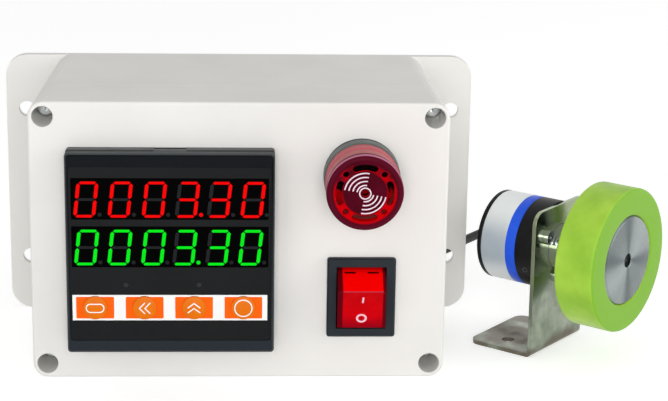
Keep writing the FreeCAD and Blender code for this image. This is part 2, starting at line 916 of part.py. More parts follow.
def rocker_paddle():
    """Red paddle: a hollowed front between two ridges, ends that follow its swing, and its pins."""
    swing = rocker_opening_height / 2 - paddle_sweep_gap
    shoulder_rise = math.sqrt(swing ** 2 - paddle_shoulder_reach ** 2)
    skirt_rise = math.sqrt(swing ** 2 - paddle_skirt ** 2)
    half = rocker_opening_width / 2 - paddle_side_gap

    def at(reach, rise):
        return V(rocker_x - half, pivot_y - reach, rocker_z + rise)

    ridge_rise = swing - paddle_ridge_inset
    low_ridge, high_ridge = [at(paddle_ridge_reach, side * ridge_rise) for side in (-1, 1)]
    low_shoulder, high_shoulder = [at(paddle_shoulder_reach, side * shoulder_rise) for side in (-1, 1)]
    low_skirt, high_skirt = [at(-paddle_skirt, side * skirt_rise) for side in (-1, 1)]
    edges = [
        Part.Arc(high_ridge, at(paddle_ridge_reach - paddle_hollow, 0), low_ridge),
        Part.LineSegment(low_ridge, low_shoulder),
        Part.Arc(low_shoulder, at(0, -swing), low_skirt),
        Part.LineSegment(low_skirt, high_skirt),
        Part.Arc(high_skirt, at(0, swing), high_shoulder),
        Part.LineSegment(high_shoulder, high_ridge),
    ]
    face = Part.Face(Part.Wire([edge.toShape() for edge in edges]))
    block = face.extrude(V(2 * half, 0, 0))
    foremost = pivot_y - paddle_ridge_reach + hole_clearance
    ridges = [edge for edge in block.Edges if edge.BoundBox.YMax < foremost]
    block = block.makeFillet(paddle_edge_radius, ridges)
    reach = rocker_opening_width / 2 + paddle_pin_length - hole_clearance
    pin_end = V(rocker_x - reach, pivot_y, rocker_z)
    pins = Part.makeCylinder(paddle_pin_radius, 2 * reach, pin_end, V(1, 0, 0))
    paddle = fused([block, pins])
    paddle.rotate(V(rocker_x, pivot_y, rocker_z), V(1, 0, 0), rocker_tilt)
    return paddle


def rocker_blades():
    """Four blade terminals at the back of the switch."""
    blades = []
    for side in (-1, 1):
        for level in (-1, 1):
            x = rocker_x + side * blade_spread_x
            z = rocker_z + level * blade_spread_z
            near = x - blade_thickness / 2
            tip = rocker_back + blade_length
            blade = box_at(near, near + blade_thickness, rocker_back, tip,
                           z - blade_width / 2, z + blade_width / 2)
            hole_start = V(near - overrun, tip - blade_width / 2, z)
            hole = Part.makeCylinder(blade_hole_radius, blade_thickness + 2 * overrun, hole_start, V(1, 0, 0))
            blades.append(blade.cut(hole))
    return Part.makeCompound(blades)


save("rocker_frame", rocker_frame())
save("rocker_paddle", rocker_paddle())
save("rocker_blades", rocker_blades())


# Cable entries

dome_front = back + gland_hex_depth + gland_dome_gap
dome_back = dome_front + gland_dome_depth
gland_mouth = dome_back + gland_seal_proud


def gland_body(x):
    """Threaded sleeve through the back wall with its hexagon outside."""
    inner_end = wall_front - gland_inside
    outer_end = back + gland_outside
    sleeve = disc_y(gland_thread_radius, x, gland_z, inner_end, outer_end)
    collar = hexagon_y(gland_hex, x, gland_z, back, back + gland_hex_depth)
    bore = disc_y(gland_bore_radius, x, gland_z, inner_end - overrun, outer_end + overrun)
    return fused([sleeve, collar]).cut(bore)


def gland_dome(x):
    """Domed cap nut on the outer thread."""
    ball = Part.makeSphere(gland_dome_depth, V(x, dome_front, gland_z))
    cap = disc_y(gland_dome_radius, x, gland_z, dome_front, dome_back).common(ball)
    thread = disc_y(gland_thread_radius, x, gland_z, dome_front - overrun, back + gland_outside)
    mouth = disc_y(gland_mouth_radius, x, gland_z, dome_front, dome_back + overrun)
    return cap.cut([thread, mouth])


def gland_filling(x, bore_radius):
    """Rubber seal inside the gland that ends just outside its mouth."""
    seal = fused([
        disc_y(gland_bore_radius, x, gland_z, back, back + gland_outside),
        disc_y(gland_mouth_radius, x, gland_z, back + gland_outside, gland_mouth),
    ])
    if bore_radius:
        seal = seal.cut(disc_y(bore_radius, x, gland_z, back - overrun, gland_mouth + overrun))
    return seal


def gland_lock_nuts():
    """Two thin nuts that hold the glands from inside."""
    nuts = []
    nut_front = wall_front - gland_nut_depth
    for x in (encoder_gland_x, power_gland_x):
        nut = hexagon_y(gland_hex, x, gland_z, nut_front, wall_front)
        thread = disc_y(gland_thread_radius, x, gland_z, nut_front - overrun, wall_front + overrun)
        nuts.append(nut.cut(thread))
    return Part.makeCompound(nuts)


save("encoder_gland", gland_body(encoder_gland_x))
save("encoder_gland_dome", gland_dome(encoder_gland_x))
save("encoder_gland_seal", gland_filling(encoder_gland_x, cable_radius))
save("power_gland", gland_body(power_gland_x))
save("power_gland_dome", gland_dome(power_gland_x))
save("power_gland_plug", gland_filling(power_gland_x, 0))
save("gland_lock_nuts", gland_lock_nuts())


# Encoder and wheel: built along X from the bracket's wheel-side face, then turned and placed

cover_front = -plate_thickness - front_body_depth - ring_depth
cap_front = cover_front - cover_depth
body_back = -plate_thickness - front_body_depth
plate_height = axis_height + plate_rise
flange_screw_ring = boss_radius + flange_screw_head_radius + flange_screw_gap
shell_inner = body_radius - shell_wall
code_disc_radius = shell_inner - code_disc_gap
code_disc_place = spigot_depth + code_disc_set_back - body_back
sensor_board_place = code_disc_place + code_disc_thickness + sensor_board_set_back
grommet_place = -cap_front - grommet_inset
wheel_front = wheel_place + wheel_width


def set_beside(shape):
    """Turns a piece of the encoder about the upright and sets it beside the enclosure."""
    placed = shape.copy()
    placed.rotate(V(0, 0, 0), V(0, 0, 1), -encoder_turn)
    placed.translate(V(encoder_x, encoder_y, 0))
    return placed


def disc_x(radius, x0, x1):
    """Round bar on the encoder's axis."""
    return Part.makeCylinder(radius, x1 - x0, V(x0, 0, axis_height), V(1, 0, 0))


def ring_x(outer, inner, x0, x1):
    """Round tube on the encoder's axis."""
    return disc_x(outer, x0, x1).cut(disc_x(inner, x0 - overrun, x1 + overrun))


def flange_screw_places():
    """Places of the encoder's three screws, on Y and Z."""
    places = []
    for angle in (30, 150, 270):
        turned = math.radians(angle)
        y = flange_screw_ring * math.cos(turned)
        places.append((y, axis_height + flange_screw_ring * math.sin(turned)))
    return places


def foot_hole_places():
    """Places of the two holes in the bracket's foot, on X and Y."""
    return [(-foot_hole_reach, side * foot_hole_spread / 2) for side in (-1, 1)]


def bar_x(radius, y, z):
    """Round bar right through the upright's thickness."""
    start = V(-plate_thickness - overrun, y, z)
    return Part.makeCylinder(radius, plate_thickness + 2 * overrun, start, V(1, 0, 0))


def bar_z(radius, x, y):
    """Round bar right through the foot's thickness."""
    return Part.makeCylinder(radius, plate_thickness + 2 * overrun, V(x, y, -overrun))


def corner_cut_x(radius):
    """What rounding takes from the upright's two top corners."""
    cuts = []
    for side in (-1, 1):
        outer = side * plate_width / 2
        inner = side * (plate_width / 2 - radius)
        low = plate_height - radius
        y0 = min(inner, outer)
        y1 = max(inner, outer)
        square = box_at(-plate_thickness - overrun, overrun, y0, y1, low, plate_height)
        cuts.append(square.cut(bar_x(radius, inner, low)))
    return cuts


def corner_cut_z(radius):
    """What rounding takes from the foot's two far corners."""
    cuts = []
    for side in (-1, 1):
        outer = side * plate_width / 2
        inner = side * (plate_width / 2 - radius)
        near = -foot_length + radius
        y0 = min(inner, outer)
        y1 = max(inner, outer)
        square = box_at(-foot_length, near, y0, y1, -overrun, plate_thickness + overrun)
        cuts.append(square.cut(bar_z(radius, near, inner)))
    return cuts


def bracket():
    """Bent steel angle that carries the encoder: upright, foot and a rounded bend."""
    half = plate_width / 2
    upright = box_at(-plate_thickness, 0, -half, half, bend_radius, plate_height)
    foot = box_at(-foot_length, -bend_radius, -half, half, 0, plate_thickness)
    bend = Part.makeCylinder(bend_radius, plate_width, V(-bend_radius, -half, bend_radius), V(0, 1, 0))
    bend = bend.common(box_at(-bend_radius, 0, -half, half, 0, bend_radius))
    inner = bend_radius - plate_thickness
    bend = bend.cut(Part.makeCylinder(inner, plate_width, V(-bend_radius, -half, bend_radius), V(0, 1, 0)))
    cuts = corner_cut_x(plate_corner) + corner_cut_z(foot_corner)
    cuts.append(disc_x(boss_radius + boss_clearance, -plate_thickness - overrun, overrun))
    cuts += [bar_x(flange_screw_radius + hole_clearance, y, z) for y, z in flange_screw_places()]
    cuts += [bar_z(foot_hole_radius, x, y) for x, y in foot_hole_places()]
    return fused([upright, foot, bend]).cut(cuts)


def bracket_screws():
    """Three screws through the upright into the encoder's front body."""
    screws = []
    for y, z in flange_screw_places():
        screw = pan_screw(flange_screw_head_radius, flange_screw_head_height,
                          flange_screw_radius, flange_screw_length)
        screws.append(aimed(screw, V(1, 0, 0), V(0, y, z)))
    return Part.makeCompound(screws)


def encoder_body():
    """Black front body with its boss, bearing seats and a spigot for the ring behind it."""
    body = fused([
        eased(disc_x(body_radius, body_back, -plate_thickness), body_radius, turned_edge_radius),
        disc_x(boss_radius, -plate_thickness, boss_reach),
        disc_x(shell_inner - hole_clearance, body_back - spigot_depth, body_back),
    ])
    cuts = [
        disc_x(bearing_radius, boss_reach - bearing_depth, boss_reach + overrun),
        disc_x(bearing_relief_radius, body_back - spigot_depth - overrun, boss_reach),
        disc_x(bearing_radius, body_back - spigot_depth - overrun, body_back - spigot_depth + bearing_depth),
    ]
    for y, z in flange_screw_places():
        depth = flange_screw_length - plate_thickness
        cuts.append(Part.makeCylinder(flange_screw_radius + hole_clearance, depth,
                                      V(-plate_thickness - depth, y, z), V(1, 0, 0)))
    return body.cut(cuts)


def encoder_ring():
    """Blue ring between the front body and the cover."""
    return eased(ring_x(body_radius, shell_inner, cover_front, body_back), body_radius, turned_edge_radius)


def encoder_cover():
    """Silver cover behind the ring, with the hole for the cable's grommet."""
    cover = eased(ring_x(body_radius, shell_inner, cap_front, cover_front), body_radius, turned_edge_radius)
    hole = Part.makeCylinder(grommet_neck_radius + hole_clearance, body_radius,
                             V(-grommet_place, shell_wall, axis_height), V(0, 1, 0))
    return cover.cut(hole)


def encoder_cap():
    """Rear cap with a spigot inside the cover."""
    inner = shell_inner - hole_clearance
    return fused([
        eased(disc_x(body_radius, cap_front - cap_depth, cap_front), body_radius, cap_edge_radius),
        ring_x(inner, inner - shell_wall, cap_front, cap_front + spigot_depth),
    ])


def encoder_shaft():
    """Steel shaft from the wheel to behind the code disc."""
    return disc_x(shaft_radius, shaft_end_gap - sensor_board_place, wheel_front - shaft_set_back)


def bearing(x0):
    """Ball bearing as one ring, with running room for the shaft."""
    return ring_x(bearing_radius, shaft_radius + shaft_fit, x0, x0 + bearing_depth)


def code_disc():
    """Slotted disc on the shaft."""
    return ring_x(code_disc_radius, shaft_radius, -code_disc_place - code_disc_thickness, -code_disc_place)


def sensor_board():
    """Round board behind the disc with the optical reader on it."""
    board = disc_x(shell_inner - sensor_board_gap,
                   -sensor_board_place - sensor_board_thickness, -sensor_board_place)
    near = -code_disc_place - code_disc_thickness - reader_gap
    low = axis_height + code_disc_radius - reader_inset - reader_depth / 2
    reader = box_at(-sensor_board_place, near, -reader_width / 2, reader_width / 2, low, low + reader_depth)
    return fused([board, reader])


def cable_grommet():
    """Tapered relief where the cable leaves the encoder's far side."""
    neck = Part.makeCylinder(grommet_neck_radius, shell_wall,
                             V(-grommet_place, body_radius - shell_wall, axis_height), V(0, 1, 0))
    cone = Part.makeCone(grommet_radius, grommet_tip_radius, grommet_length + shell_wall / 2,
                         V(-grommet_place, body_radius - shell_wall / 2, axis_height), V(0, 1, 0))
    barrel = Part.makeCylinder(body_radius, 2 * grommet_radius,
                               V(-grommet_place - grommet_radius, 0, axis_height), V(1, 0, 0))
    return fused([neck, cone.cut(barrel)])


def wheel_tyre():
    """Soft tyre with rounded tread edges."""
    return eased(ring_x(wheel_radius, hub_radius, wheel_place, wheel_front), wheel_radius, tyre_edge_radius)


def wheel_hub():
    """Turned hub: a bevelled face in front, a hollow and a boss behind, and the grub screw's hole."""
    bevel_start = V(wheel_front - hub_bevel, 0, axis_height)
    disc = fused([
        disc_x(hub_radius, wheel_place, bevel_start.x),
        Part.makeCone(hub_radius, hub_radius - hub_bevel, hub_bevel, bevel_start, V(1, 0, 0)),
    ])
    hollow = disc_x(hub_radius - hub_rim_wall, wheel_place - overrun, wheel_place + hub_hollow_depth)
    boss = disc_x(hub_boss_radius, wheel_place - hub_boss_length, wheel_place + hub_hollow_depth)
    bore = disc_x(shaft_radius, wheel_place - hub_boss_length - overrun, wheel_front + overrun)
    thread = Part.makeCylinder(grub_radius, hub_boss_radius, V(grub_x(), 0, axis_height), V(0, 0, 1))
    return fused([disc.cut(hollow), boss]).cut([bore, thread])


def grub_x():
    """Where the grub screw stands on the hub's boss."""
    return wheel_place - hub_boss_length + grub_place


def hub_grub_screw():
    """Headless screw that holds the hub on the shaft."""
    seat = V(grub_x(), 0, axis_height + shaft_radius)
    screw = Part.makeCylinder(grub_radius, grub_length, seat, V(0, 0, 1))
    return screw.cut(disc_x(shaft_radius, 0, wheel_front))


encoder_pieces = {
    "bracket": bracket(),
    "bracket_screws": bracket_screws(),
    "encoder_body": encoder_body(),
    "encoder_ring": encoder_ring(),
    "encoder_cover": encoder_cover(),
    "encoder_cap": encoder_cap(),
    "encoder_shaft": encoder_shaft(),
    "front_bearing": bearing(boss_reach - bearing_depth),
    "rear_bearing": bearing(body_back - spigot_depth),
    "code_disc": code_disc(),
    "sensor_board": sensor_board(),
    "cable_grommet": cable_grommet(),
    "wheel_tyre": wheel_tyre(),
    "wheel_hub": wheel_hub(),
    "hub_grub_screw": hub_grub_screw(),
}
for piece_name, piece in encoder_pieces.items():
    save(piece_name, set_beside(piece))


# Encoder cable: tubes on straight runs and tangent arcs, and a coil on pairs of arcs


def arc_edge(start, corner, end):
    """Arc from start to end that is tangent to both legs of the corner, whose legs are equal."""
    middle = (start + end) / 2
    share = (end - start).Length / 2 / (corner - start).Length
    return Part.Arc(start, middle + (corner - middle) * (share / (1 + share)), end).toShape()


def tube(path, start, direction):
    """Round tube along a path, and how its volume compares with its section times its length."""
    wire = Part.Wire(path)
    section = Part.Wire([Part.Circle(start, direction, cable_radius).toShape()])
    solid = wire.makePipeShell([section], True, False)
    print("volume share", round(solid.Volume / (math.pi * cable_radius ** 2 * wire.Length), 5),
          "length", round(wire.Length, 1))
    return solid


def run_tube(points):
    """Tube on straight runs joined by the largest arcs that its runs allow."""
    corner_share = 0.45
    edges = []
    start = points[0]
    radii = []
    for before, corner, after in zip(points, points[1:], points[2:]):
        came = corner - before
        goes = after - corner
        leg = corner_share * min(came.Length, goes.Length)
        radii.append(round(leg / math.tan(came.getAngle(goes) / 2), 1))
        arc_start = corner - came.normalize() * leg
        arc_end = corner + goes.normalize() * leg
        edges.append(Part.LineSegment(start, arc_start).toShape())
        edges.append(arc_edge(arc_start, corner, arc_end))
        start = arc_end
    edges.append(Part.LineSegment(start, points[-1]).toShape())
    print("arc radii", radii, "least allowed", 10 * cable_radius)
    return tube(edges, points[0], points[1] - points[0])


def coil_radius(turn):
    """Radius of the coil: it winds in and out again at a steady rate, layer by layer."""
    reach = layer_turns + 1 / 2
    along = (turn + 1 / 4) % (2 * reach)
    return coil_inner_radius + coil_step * abs(reach - along)


def coil_height(turn):
    """Height of the coil: level layers with a climb in each half turn between them."""
    reach = layer_turns + 1 / 2
    layer = math.floor(turn / reach)
    climb = max(0, (turn - layer * reach - layer_turns) * 2)
    return coil_floor + coil_step * (layer + climb * climb * (3 - 2 * climb))


def coil_point(turn):
    """Point of the coil after a number of turns, clockwise from above."""
    angle = math.radians(coil_start_angle - 360 * turn)
    radius = coil_radius(turn)
    return V(coil_x + radius * math.cos(angle), coil_y + radius * math.sin(angle), coil_height(turn))


def coil_heading(turn):
    """Direction of the coil there, over a small share of a turn each way."""
    small_share = 1 / 100
    low = max(0, turn - small_share)
    high = min(coil_turns, turn + small_share)
    return (coil_point(high) - coil_point(low)).normalize()


def biarc(start, out, end, into):
    """Two arcs that join two points and their directions."""
    gap = end - start
    both = out + into
    a = 2 * (1 - out.dot(into))
    b = 2 * gap.dot(both)
    leg = (math.sqrt(b * b + 4 * a * gap.dot(gap)) - b) / (2 * a)
    first = start + out * leg
    second = end - into * leg
    middle = (first + second) / 2
    return [arc_edge(start, first, middle), arc_edge(middle, second, end)]


def coil():
    """Put-away length of the cable: one tube wound in layers, with a straight lead at each end."""
    steps = round(4 * coil_turns)
    turns = [coil_turns * i / steps for i in range(steps + 1)]
    points = [coil_point(turn) for turn in turns]
    headings = [coil_heading(turn) for turn in turns]
    edges = [Part.LineSegment(points[0] - headings[0] * cable_lead, points[0]).toShape()]
    for i in range(steps):
        edges.extend(biarc(points[i], headings[i], points[i + 1], headings[i + 1]))
    edges.append(Part.LineSegment(points[-1], points[-1] + headings[-1] * cable_lead).toShape())
    return tube(edges, points[0] - headings[0] * cable_lead, headings[0])


def coil_gap():
    """Least gap between turns, measured on points of the coil."""
    per_turn = 72
    count = round(per_turn * coil_turns)
    points = [coil_point(coil_turns * i / count) for i in range(count + 1)]
    least = coil_inner_radius
    for i, point in enumerate(points):
        for other in points[i + per_turn // 2:]:
            least = min(least, (point - other).Length)
    return least - 2 * cable_radius


def cable_tie():
    """Flat tie round the coil's far left side, with its head on top."""
    reach = layer_turns + 1 / 2
    x_near = coil_x - coil_inner_radius + cable_radius + tie_gap
    x_far = coil_x - coil_inner_radius - coil_step * reach - cable_radius - tie_gap
    low = coil_floor - cable_radius - tie_gap
    high = coil_floor + coil_step * (coil_layers - 1) + cable_radius + tie_gap
    y0 = coil_y - tie_width / 2
    y1 = coil_y + tie_width / 2
    band = box_at(x_far - tie_thickness, x_near + tie_thickness, y0, y1,
                  low - tie_thickness, high + tie_thickness)
    band = band.cut(box_at(x_far, x_near, y0 - overrun, y1 + overrun, low, high))
    head_x = (x_far + x_near - tie_head) / 2
    head_y = coil_y - tie_head / 2
    head = box_at(head_x, head_x + tie_head, head_y, head_y + tie_head,
                  high + tie_thickness, high + tie_head_thickness)
    return fused([band, head])


turn = math.radians(-encoder_turn)
sideways = V(-math.sin(turn), math.cos(turn), 0)
along_axis = V(math.cos(turn), math.sin(turn), 0)
grommet_seat = V(encoder_x, encoder_y, axis_height) - along_axis * grommet_place
encoder_exit = grommet_seat + sideways * cable_exit_reach
coil_in = coil_point(0) - coil_heading(0) * cable_lead
coil_out = coil_point(coil_turns) + coil_heading(coil_turns) * cable_lead
gland_end = V(encoder_gland_x, gland_mouth, gland_z)
drape = [encoder_exit, encoder_exit + sideways * encoder_lead_length]
drape += [V(*point) for point in cable_drape]
drape += [coil_in - coil_heading(0) * run_end_length, coil_in]
rise = [coil_out, coil_out + coil_heading(coil_turns) * run_end_length]
rise += [gland_end + V(0, run_end_length, 0), gland_end]
lead_end = V(meter_x + main_board_width / 2, case_back + cable_radius + inner_lead_clearance,
             meter_z - main_board_drop + terminal_height / 2)
inner_route = [gland_end, gland_end - V(0, inner_lead_run, 0)] + [V(*point) for point in inner_drape]
inner_route += [lead_end + V(run_end_length, 0, 0), lead_end]

save("cable_run", run_tube(drape))
save("cable_coil", coil())
save("cable_rise", run_tube(rise))
save("inner_lead", run_tube(inner_route))
save("cable_tie", cable_tie())
print("coil gap", round(coil_gap(), 2))
for point in drape + rise:
    print("route", [round(value, 2) for value in point])
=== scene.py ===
import bmesh
import bpy
import numpy as np
from mathutils import Matrix


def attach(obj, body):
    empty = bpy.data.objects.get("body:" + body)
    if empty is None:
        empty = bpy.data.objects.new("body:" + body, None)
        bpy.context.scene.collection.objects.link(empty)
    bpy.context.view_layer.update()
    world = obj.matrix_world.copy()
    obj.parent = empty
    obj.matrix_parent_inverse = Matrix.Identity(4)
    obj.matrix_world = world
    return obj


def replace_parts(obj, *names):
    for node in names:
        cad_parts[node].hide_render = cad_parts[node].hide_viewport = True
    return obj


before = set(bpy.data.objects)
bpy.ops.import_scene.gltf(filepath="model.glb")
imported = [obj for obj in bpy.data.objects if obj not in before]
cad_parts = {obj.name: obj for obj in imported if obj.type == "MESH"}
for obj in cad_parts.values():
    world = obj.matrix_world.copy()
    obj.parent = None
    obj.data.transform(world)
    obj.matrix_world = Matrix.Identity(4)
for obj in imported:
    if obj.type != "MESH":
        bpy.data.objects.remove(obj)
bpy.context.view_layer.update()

# Enclosure: two moulded halves of light grey ABS, a deep back half with a wall flange and a lid
# that screws on in front. The mould's faces are spark-eroded and its corners are broken, so the
# walls have a fine matt grain and each edge catches a thin line of light.


def linear(code):
    """Linear colour of an sRGB hex code: each channel through the standard's two-part curve."""
    channels = np.array([int(code[i:i + 2], 16) for i in (0, 2, 4)]) / 255
    light = np.where(channels <= 0.04045, channels / 12.92, ((channels + 0.055) / 1.055) ** 2.4)
    return (*light, 1.0)


def fill(material, node, inputs):
    """Fills a node's inputs with values or with linked sockets."""
    for name, value in inputs.items():
        if isinstance(value, bpy.types.NodeSocket):
            material.node_tree.links.new(value, node.inputs[name])
        else:
            node.inputs[name].default_value = value
    return node


def add_node(material, kind, settings, inputs):
    """Adds a node to a material, with its settings, and fills its inputs."""
    node = material.node_tree.nodes.new(kind)
    for name, value in settings.items():
        setattr(node, name, value)
    return fill(material, node, inputs)


def shader_of(material):
    """The node that shades a material's surface."""
    return material.node_tree.nodes["Principled BSDF"]


def finish(name, light, dark, roughness, spread, patch, grain, depth, shader_values=None, edge=0.2):
    """Material for a made surface: its colour wanders between two shades and its roughness by a
    spread, over patches of a size in mm, under a fine bump with a grain and a depth in mm. The
    normal also turns evenly across a sharp edge, over a radius in mm. The shader's other sockets
    are set to the values given for them."""
    material = bpy.data.materials.new(name)
    material.use_nodes = True
    place = add_node(material, "ShaderNodeTexCoord", {}, {}).outputs["Object"]
    patches = add_node(material, "ShaderNodeTexNoise", {},
                       {"Vector": place, "Scale": 1000 / patch, "Detail": 4.0})
    blend = add_node(material, "ShaderNodeMapRange", {},
                     {"Value": patches.outputs["Fac"], "From Min": 0.32, "From Max": 0.68})
    shade = add_node(material, "ShaderNodeMix", {"data_type": "RGBA"},
                     {0: blend.outputs["Result"], 6: linear(light), 7: linear(dark)})
    rough = add_node(material, "ShaderNodeMapRange", {},
                     {"Value": blend.outputs["Result"], "To Min": roughness - spread,
                      "To Max": roughness + spread})
    grains = add_node(material, "ShaderNodeTexNoise", {},
                      {"Vector": place, "Scale": 1000 / grain, "Detail": 2.0})
    rounded = add_node(material, "ShaderNodeBevel", {"samples": 6}, {"Radius": edge / 1000})
    bump = add_node(material, "ShaderNodeBump", {},
                    {"Height": grains.outputs["Fac"], "Distance": depth / 1000,
                     "Normal": rounded.outputs["Normal"]})
    fill(material, shader_of(material),
         {"Base Color": shade.outputs[2], "Roughness": rough.outputs["Result"],
          "Normal": bump.outputs["Normal"], **(shader_values or {})})
    return material


def dressed(material, *nodes):
    """Gives CAD pieces that keep their own shape their finish."""
    for node in nodes:
        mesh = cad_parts[node].data
        mesh.materials.clear()
        mesh.materials.append(material)


# ABS from a spark-eroded mould: a soft, even sheen and a pale warm grey
moulded_abs = finish("light_grey_spark_textured_abs", "ECEAE6", "E7E5E1", 0.46, 0.03, 30, 0.35, 0.012)
dressed(moulded_abs, "enclosure_lid", "enclosure_base")

# Cover seal and screws: a black cord of foam rubber in the base's groove, and four zinc-plated
# pan-head screws at the bottom of the lid's wells.

# Foam rubber: dull black with open pores
seal_rubber = finish("black_foam_rubber_cord", "1B1B1B", "101010", 0.85, 0.05, 2, 0.3, 0.05)
# Zinc plate on steel: bluish grey, half bright, with a slight cloudiness
zinc_plate = finish("zinc_plated_steel", "C4C8C8", "A4A8A8", 0.16, 0.05, 3, 0.3, 0.002, {"Metallic": 1.0})
dressed(seal_rubber, "lid_seal")
dressed(zinc_plate, "lid_screws")

# Counting meter: a blue-black moulded frame that clips on a case of the same plastic. The frame
# stands 9 mm proud of the panel, has a latch notch on top, and holds a dark face plate with two
# smoked windows.

# Where its painted shade and light change: between two heights, and at two depths, each from a start to an
# end
bezel_bottom = 15.0
bezel_top = 84.0
bevel_back = (-49.0, -48.6)
groove_back = (-44.5, -44.3)


def own_colour(material):
    """Socket of the colour that a finish gives its shader."""
    return shader_of(material).inputs["Base Color"].links[0].from_socket


def recoloured(material, shade):
    """The same finish, with its shader's colour taken from another socket."""
    fill(material, shader_of(material), {"Base Color": shade})
    return material


def blended(material, value, low, high, first, last):
    """Colour that goes from a first to a last one, hex codes or sockets, as a value in m rises
    from low to high, given in mm."""
    share = add_node(material, "ShaderNodeMapRange", {"interpolation_type": "SMOOTHSTEP"},
                     {"Value": value, "From Min": low / 1000, "From Max": high / 1000})
    ends = [linear(end) if isinstance(end, str) else end for end in (first, last)]
    return add_node(material, "ShaderNodeMix", {"data_type": "RGBA"},
                    {0: share.outputs["Result"], 6: ends[0], 7: ends[1]}).outputs[2]


def place_parts(material):
    """Sockets of a point's own x, y and z, in m."""
    place = add_node(material, "ShaderNodeTexCoord", {}, {}).outputs["Object"]
    return add_node(material, "ShaderNodeSeparateXYZ", {}, {0: place}).outputs


def frame_moulding():
    """Glass-filled ABS: blue-black with a satin sheen. Its colour carries painted shade and light: it is
    painted a little paler towards the bottom of the panel, and painted greyer on its top and sides,
    behind the front's bevel, and paler still behind the parting groove."""
    material = finish("blue_black_moulded_abs", "0E1215", "0B0F12", 0.42, 0.04, 12, 0.3, 0.006,
                      {"Specular IOR Level": 0.06})
    parts = place_parts(material)
    # Painted shade by height, then painted light on the top and sides behind the bevel and the groove
    front = blended(material, parts["Z"], bezel_bottom, bezel_top, "272D33", own_colour(material))
    sides = blended(material, parts["Y"], *bevel_back, front, "484B4D")
    return recoloured(material, blended(material, parts["Y"], *groove_back, sides, "606264"))


# Printed polycarbonate sheet: charcoal on its back, smooth in front
face_sheet = finish("charcoal_printed_polycarbonate", "1F2021", "1C1D1E", 0.3, 0.02, 20, 0.5, 0.001,
                    {"Specular IOR Level": 0.05})
# Smoked acrylic filter: near black, and polished
smoked_acrylic = finish("smoked_acrylic_filter", "010101", "000000", 0.15, 0.02, 20, 1.0, 0.0005,
                        {"Specular IOR Level": 0.02})
dressed(frame_moulding(), "counter_bezel", "counter_case", "counter_clamps")
dressed(face_sheet, "counter_face")
dressed(smoked_acrylic, "upper_window", "lower_window")

# Painted shade in the frame: thin dark bars, in the black foam rubber's finish, laid in the parting
# groove and, with a raised middle, in the latch notch on top, where these lie in shade.

meter_x = -23.8
meter_top = 84.6
sharp_angle = np.radians(35.0)
# Bars of painted shade, from the middle of the frame's top: x, y and z, each from one end to the other
painted_shade_bars = [(-5.6, 5.6, -40.9, -40.03, -0.62, -0.08), (-2.1, 1.9, -41.5, -40.9, -0.62, -0.3),
               (-35.6, -5.65, -45.5, -43.8, -0.45, 0.05), (5.65, 35.6, -45.5, -43.8, -0.45, 0.05)]


def blocks(sizes):
    """Small blocks, each between two corners: the eight corners, and the six quads between them."""
    points = []
    faces = []
    for x0, x1, y0, y1, z0, z1 in sizes:
        start = len(points)
        points += [(x, y, z) for x in (x0, x1) for y in (y0, y1) for z in (z0, z1)]
        faces += [[start + corner for corner in quad] for quad in
                  ((0, 1, 3, 2), (4, 6, 7, 5), (0, 4, 5, 1), (2, 3, 7, 6), (0, 2, 6, 4), (1, 5, 7, 3))]
    return points, faces


def placed(name, data):
    """Object of the scene that holds a mesh, a curve, a lamp or a camera."""
    holder = bpy.data.objects.new(name, data)
    bpy.context.scene.collection.objects.link(holder)
    return holder


def piece_from(name, points, faces, material, body, slot):
    """Piece from points in mm and faces, with outward faces and edges that are sharp past an angle."""
    mesh = bpy.data.meshes.new(name)
    mesh.from_pydata(np.asarray(points).reshape(-1, 3) / 1000, [], faces)
    shape = bmesh.new()
    shape.from_mesh(mesh)
    bmesh.ops.recalc_face_normals(shape, faces=shape.faces)
    shape.to_mesh(mesh)
    shape.free()
    mesh.shade_smooth()
    mesh.set_sharp_from_angle(angle=sharp_angle)
    mesh.materials.append(material)
    piece = placed(name, mesh)
    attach(piece, body)
    return piece


# Painted shade: dark bars in the groove and the notch
painted_shade_points, painted_shade_faces = blocks(painted_shade_bars)
piece_from("frame_painted_shade", np.array(painted_shade_points) + (meter_x, 0, meter_top), painted_shade_faces,
           seal_rubber, "enclosure", "bezel")

# Digits: two rows of six seven-segment digits, the upper red and the lower green. Each is drawn
# where the eye sees it, on its window's front: lit bars glow, and bars that are off show as grey.

meter_z = 48.6
window_front = -49.05
film = 0.04
row_rises = {"upper": 19.75, "lower": 2.55}
row_pitches = {"upper": 11.43, "lower": 11.31}
row_shifts = {"upper": (0, 0.32, 0.59, 0.48, 0.05, 0.16), "lower": (0, 0.1, 0.43, -0.16, -0.05, -0.05)}
digit_width = 7.55
digit_height = 12.85
digit_left = -57.05
level_bar = 0.95
upright_bar = 1.25
bar_gap = 0.22
digit_slant = np.tan(np.radians(6.5))
dot_radius = 0.7
dot_offset = 1.6
dot_rise = 0.35
reading = "000330"
dot_after = 3
lit_cloud = 2.0
bars_of_digit = {"0": "abcdef", "3": "abcdg"}


def prisms(outlines, front, depth):
    """Flat prisms that face the reader: each outline, in x and z, is drawn at the front depth and
    again behind it, and the two are joined by a quad for each side."""
    outlines = np.asarray(outlines)
    count, sides = outlines.shape[:2]
    points = np.zeros((count, 2, sides, 3))
    points[..., 0] = outlines[:, None, :, 0]
    points[..., 2] = outlines[:, None, :, 1]
    points[..., 1] = np.array([front, front + depth])[None, :, None]
    start = np.arange(count)[:, None] * 2 * sides
    ahead = np.arange(sides)
    after = (ahead + 1) % sides
    walls = np.stack([ahead, after, after + sides, ahead + sides], -1)
    faces = (start + ahead).tolist() + (start + ahead[::-1] + sides).tolist()
    faces += (start[:, :, None] + walls[None]).reshape(-1, 4).tolist()
    return points, faces


